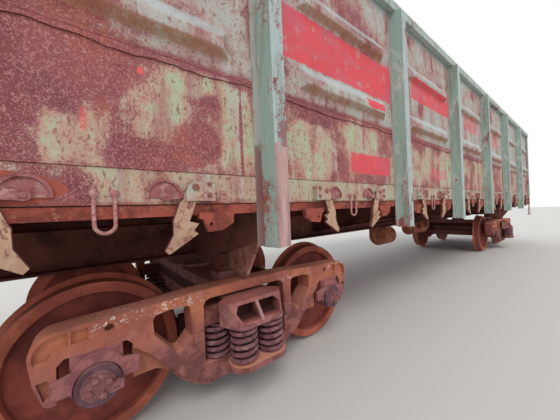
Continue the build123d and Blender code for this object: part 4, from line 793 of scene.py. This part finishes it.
# profiles as distance along the axis and radius, then the outlines of two flat plates
SPRING_CAP = [(-0.001, 0.101), (0.012, 0.103), (0.020, 0.100), (0.024, 0.090)]
COVER = [(-0.002, 0.078), (0.006, 0.078), (0.009, 0.074), (0.009, 0.020), (0.012, 0.016)]
COVER_BOLT = [(0.0, 0.022), (0.004, 0.022), (0.005, 0.017), (0.022, 0.017), (0.025, 0.013), (0.026, 0.006)]
COVER_SEAT = 1.138
COVER_OUT = 1.146
BOLT_CIRCLE = 0.046
CORNERS = [math.radians(20 + 90 * quarter) for quarter in range(4)]
PLATE = [(0.080 * math.cos(t), 0.080 * math.sin(t)) for t in CORNERS]
TAB = [(0.020, -0.030), (0.052, -0.056), (0.106, -0.046), (0.112, -0.002), (0.086, 0.012), (0.050, 0.0)]
for n, pivot_x in ((1, -PIVOT_X), (2, PIVOT_X)):
    spring_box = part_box(f"springs_{n}")
    low_z, high_z = spring_box[0][2], spring_box[1][2]
    coils = Shape()
    for side in (-1, 1):
        for u, v in SPRINGS:
            at = (pivot_x + u, side * (FRAME_Y + v), low_z, high_z)
            coil(coils, *at, *OUTER_COIL)
            coil(coils, *at, *INNER_COIL)
    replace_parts(coils.make(f"coil_springs_{n}", f"bogie_{n}", spring_rust), f"springs_{n}")
    caps = Shape()
    for side in (-1, 1):
        for u, v in SPRINGS:
            at = (pivot_x + u, side * (FRAME_Y + v), high_z)
            if v > 0.1:
                caps.turned(at, (0, 0, 1), SPRING_CAP, 28)
    caps.make(f"spring_caps_{n}", f"bogie_{n}", box_rust)

    covers = Shape()
    cover_bolts = Shape()
    for side in (-1, 1):
        for x in (pivot_x - AXLE_X, pivot_x + AXLE_X):
            at = (x, side * COVER_SEAT, AXLE_Z)
            covers.turned(at, (0, side, 0), COVER, 32)
            for t in CORNERS:
                u, v = BOLT_CIRCLE * math.cos(t), BOLT_CIRCLE * math.sin(t)
                cover_bolts.turned((x + u, side * COVER_OUT, AXLE_Z + v), (0, side, 0), COVER_BOLT, 10)
            cover_bolts.plate([(x + u, AXLE_Z + v) for u, v in TAB], side * COVER_OUT, side * 1.155)
            cover_bolts.plate([(x + u, AXLE_Z + v) for u, v in PLATE], side * COVER_OUT, side * 1.152)
    covers.make(f"box_covers_{n}", f"bogie_{n}", cover_rust, bevel=0.0015)
    cover_bolts.make(f"cover_bolts_{n}", f"bogie_{n}", box_rust, smooth=False, bevel=0.0015)

# Wheels and axles: rolled wheels pressed on forged axles.
# The rims are a bright rust ring, the webs darker with brake dust, and the treads worn smooth.
w = Weather("wheel_rust")
radius = from_axle(w)
mottle = w.noise(5.0, 5.0, 0.6, shift=2.0)
fine = w.noise(60.0, 4.0, 0.7, shift=8.0)
color = w.mix(w.step(mottle, 0.42, 0.62), srgb(136, 66, 56), srgb(106, 50, 44))
rim_color = w.mix(w.step(mottle, 0.42, 0.62), srgb(176, 98, 78), srgb(146, 76, 62))
color = w.mix(w.step(radius, 0.395, 0.405), color, rim_color)
color = w.mix(w.step(fine, 0.52, 0.72, 0.0, 0.5), color, srgb(74, 38, 36))
running_face = w.step(w.math("ABSOLUTE", w.facing_y), 0.3, 0.6, 1.0, 0.0)
tread = w.times(w.step(radius, 0.455, 0.462), running_face)
color = w.mix(tread, color, srgb(140, 82, 68))
wheel_rust = w.finish(color, w.step(tread, 0.0, 1.0, 0.85, 0.6), w.total((mottle, 1.0), (fine, 0.4)), 0.002)
axle_rust = rust("axle_rust", srgb(108, 62, 54), srgb(72, 42, 38), srgb(140, 90, 76), 8.0)
for n in (1, 2, 3, 4):
    paint(f"wheels_{n}", wheel_rust, 0.003)
    paint(f"axle_{n}", axle_rust, 0.002)

# Floor, sky and camera: a plain pale floor under a soft, even sky with one weak sun.
# The camera stands where the photographer did, close to the near bogie.
floor = bpy.data.meshes.new("floor")
floor.from_pydata([(-60, -60, 0), (60, -60, 0), (60, 60, 0), (-60, 60, 0)], [], [(0, 1, 2, 3)])
floor_obj = bpy.data.objects.new("floor", floor)
bpy.context.scene.collection.objects.link(floor_obj)
w = Weather("floor_pale")
floor.materials.append(w.finish((0.62, 0.61, 0.58, 1.0), 0.95))

world = bpy.data.worlds.new("sky")
bpy.context.scene.world = world
world.use_nodes = True
tree = world.node_tree
tree.nodes.clear()
path = tree.nodes.new("ShaderNodeLightPath")
seen = tree.nodes.new("ShaderNodeMath")
seen.operation = "MAXIMUM"
tree.links.new(path.outputs["Is Camera Ray"], seen.inputs[0])
tree.links.new(path.outputs["Is Transmission Ray"], seen.inputs[1])
soft = tree.nodes.new("ShaderNodeBackground")
soft.inputs[0].default_value = (0.95, 0.97, 1.0, 1.0)
soft.inputs[1].default_value = 0.95
white = tree.nodes.new("ShaderNodeBackground")
white.inputs[0].default_value = (1.0, 1.0, 1.0, 1.0)
white.inputs[1].default_value = 1.0
pick = tree.nodes.new("ShaderNodeMixShader")
tree.links.new(seen.outputs[0], pick.inputs[0])
tree.links.new(soft.outputs[0], pick.inputs[1])
tree.links.new(white.outputs[0], pick.inputs[2])
sky_out = tree.nodes.new("ShaderNodeOutputWorld")
tree.links.new(pick.outputs[0], sky_out.inputs[0])

sun = bpy.data.lights.new("sun", "SUN")
sun.energy = 1.1
sun.angle = math.radians(25)
sun.color = (1.0, 0.97, 0.93)
sun_obj = bpy.data.objects.new("sun", sun)
sun_obj.rotation_euler = Vector((0.35, 0.55, -0.75)).to_track_quat("-Z", "Y").to_euler()
bpy.context.scene.collection.objects.link(sun_obj)

EYE = (-5.2892, -2.7404, RAIL + 1.3371)
yaw = math.radians(51.457)
pitch = math.radians(0.089)
roll = math.radians(-2.3875)
ahead = Vector((math.cos(pitch) * math.cos(yaw), math.cos(pitch) * math.sin(yaw), math.sin(pitch)))
level = ahead.cross(Vector((0, 0, 1))).normalized()
upright = level.cross(ahead)
right = math.cos(roll) * level + math.sin(roll) * upright
up = -math.sin(roll) * level + math.cos(roll) * upright
lens = bpy.data.cameras.new("camera")
lens.sensor_width = 36.0
lens.lens = 15.95
lens.clip_start = 0.01
camera = bpy.data.objects.new("camera", lens)
turn = Matrix((right, up, -ahead)).transposed().to_4x4()
camera.matrix_world = Matrix.Translation(EYE) @ turn
bpy.context.scene.collection.objects.link(camera)
bpy.context.scene.camera = camera
bpy.context.scene.view_settings.view_transform = "Standard"
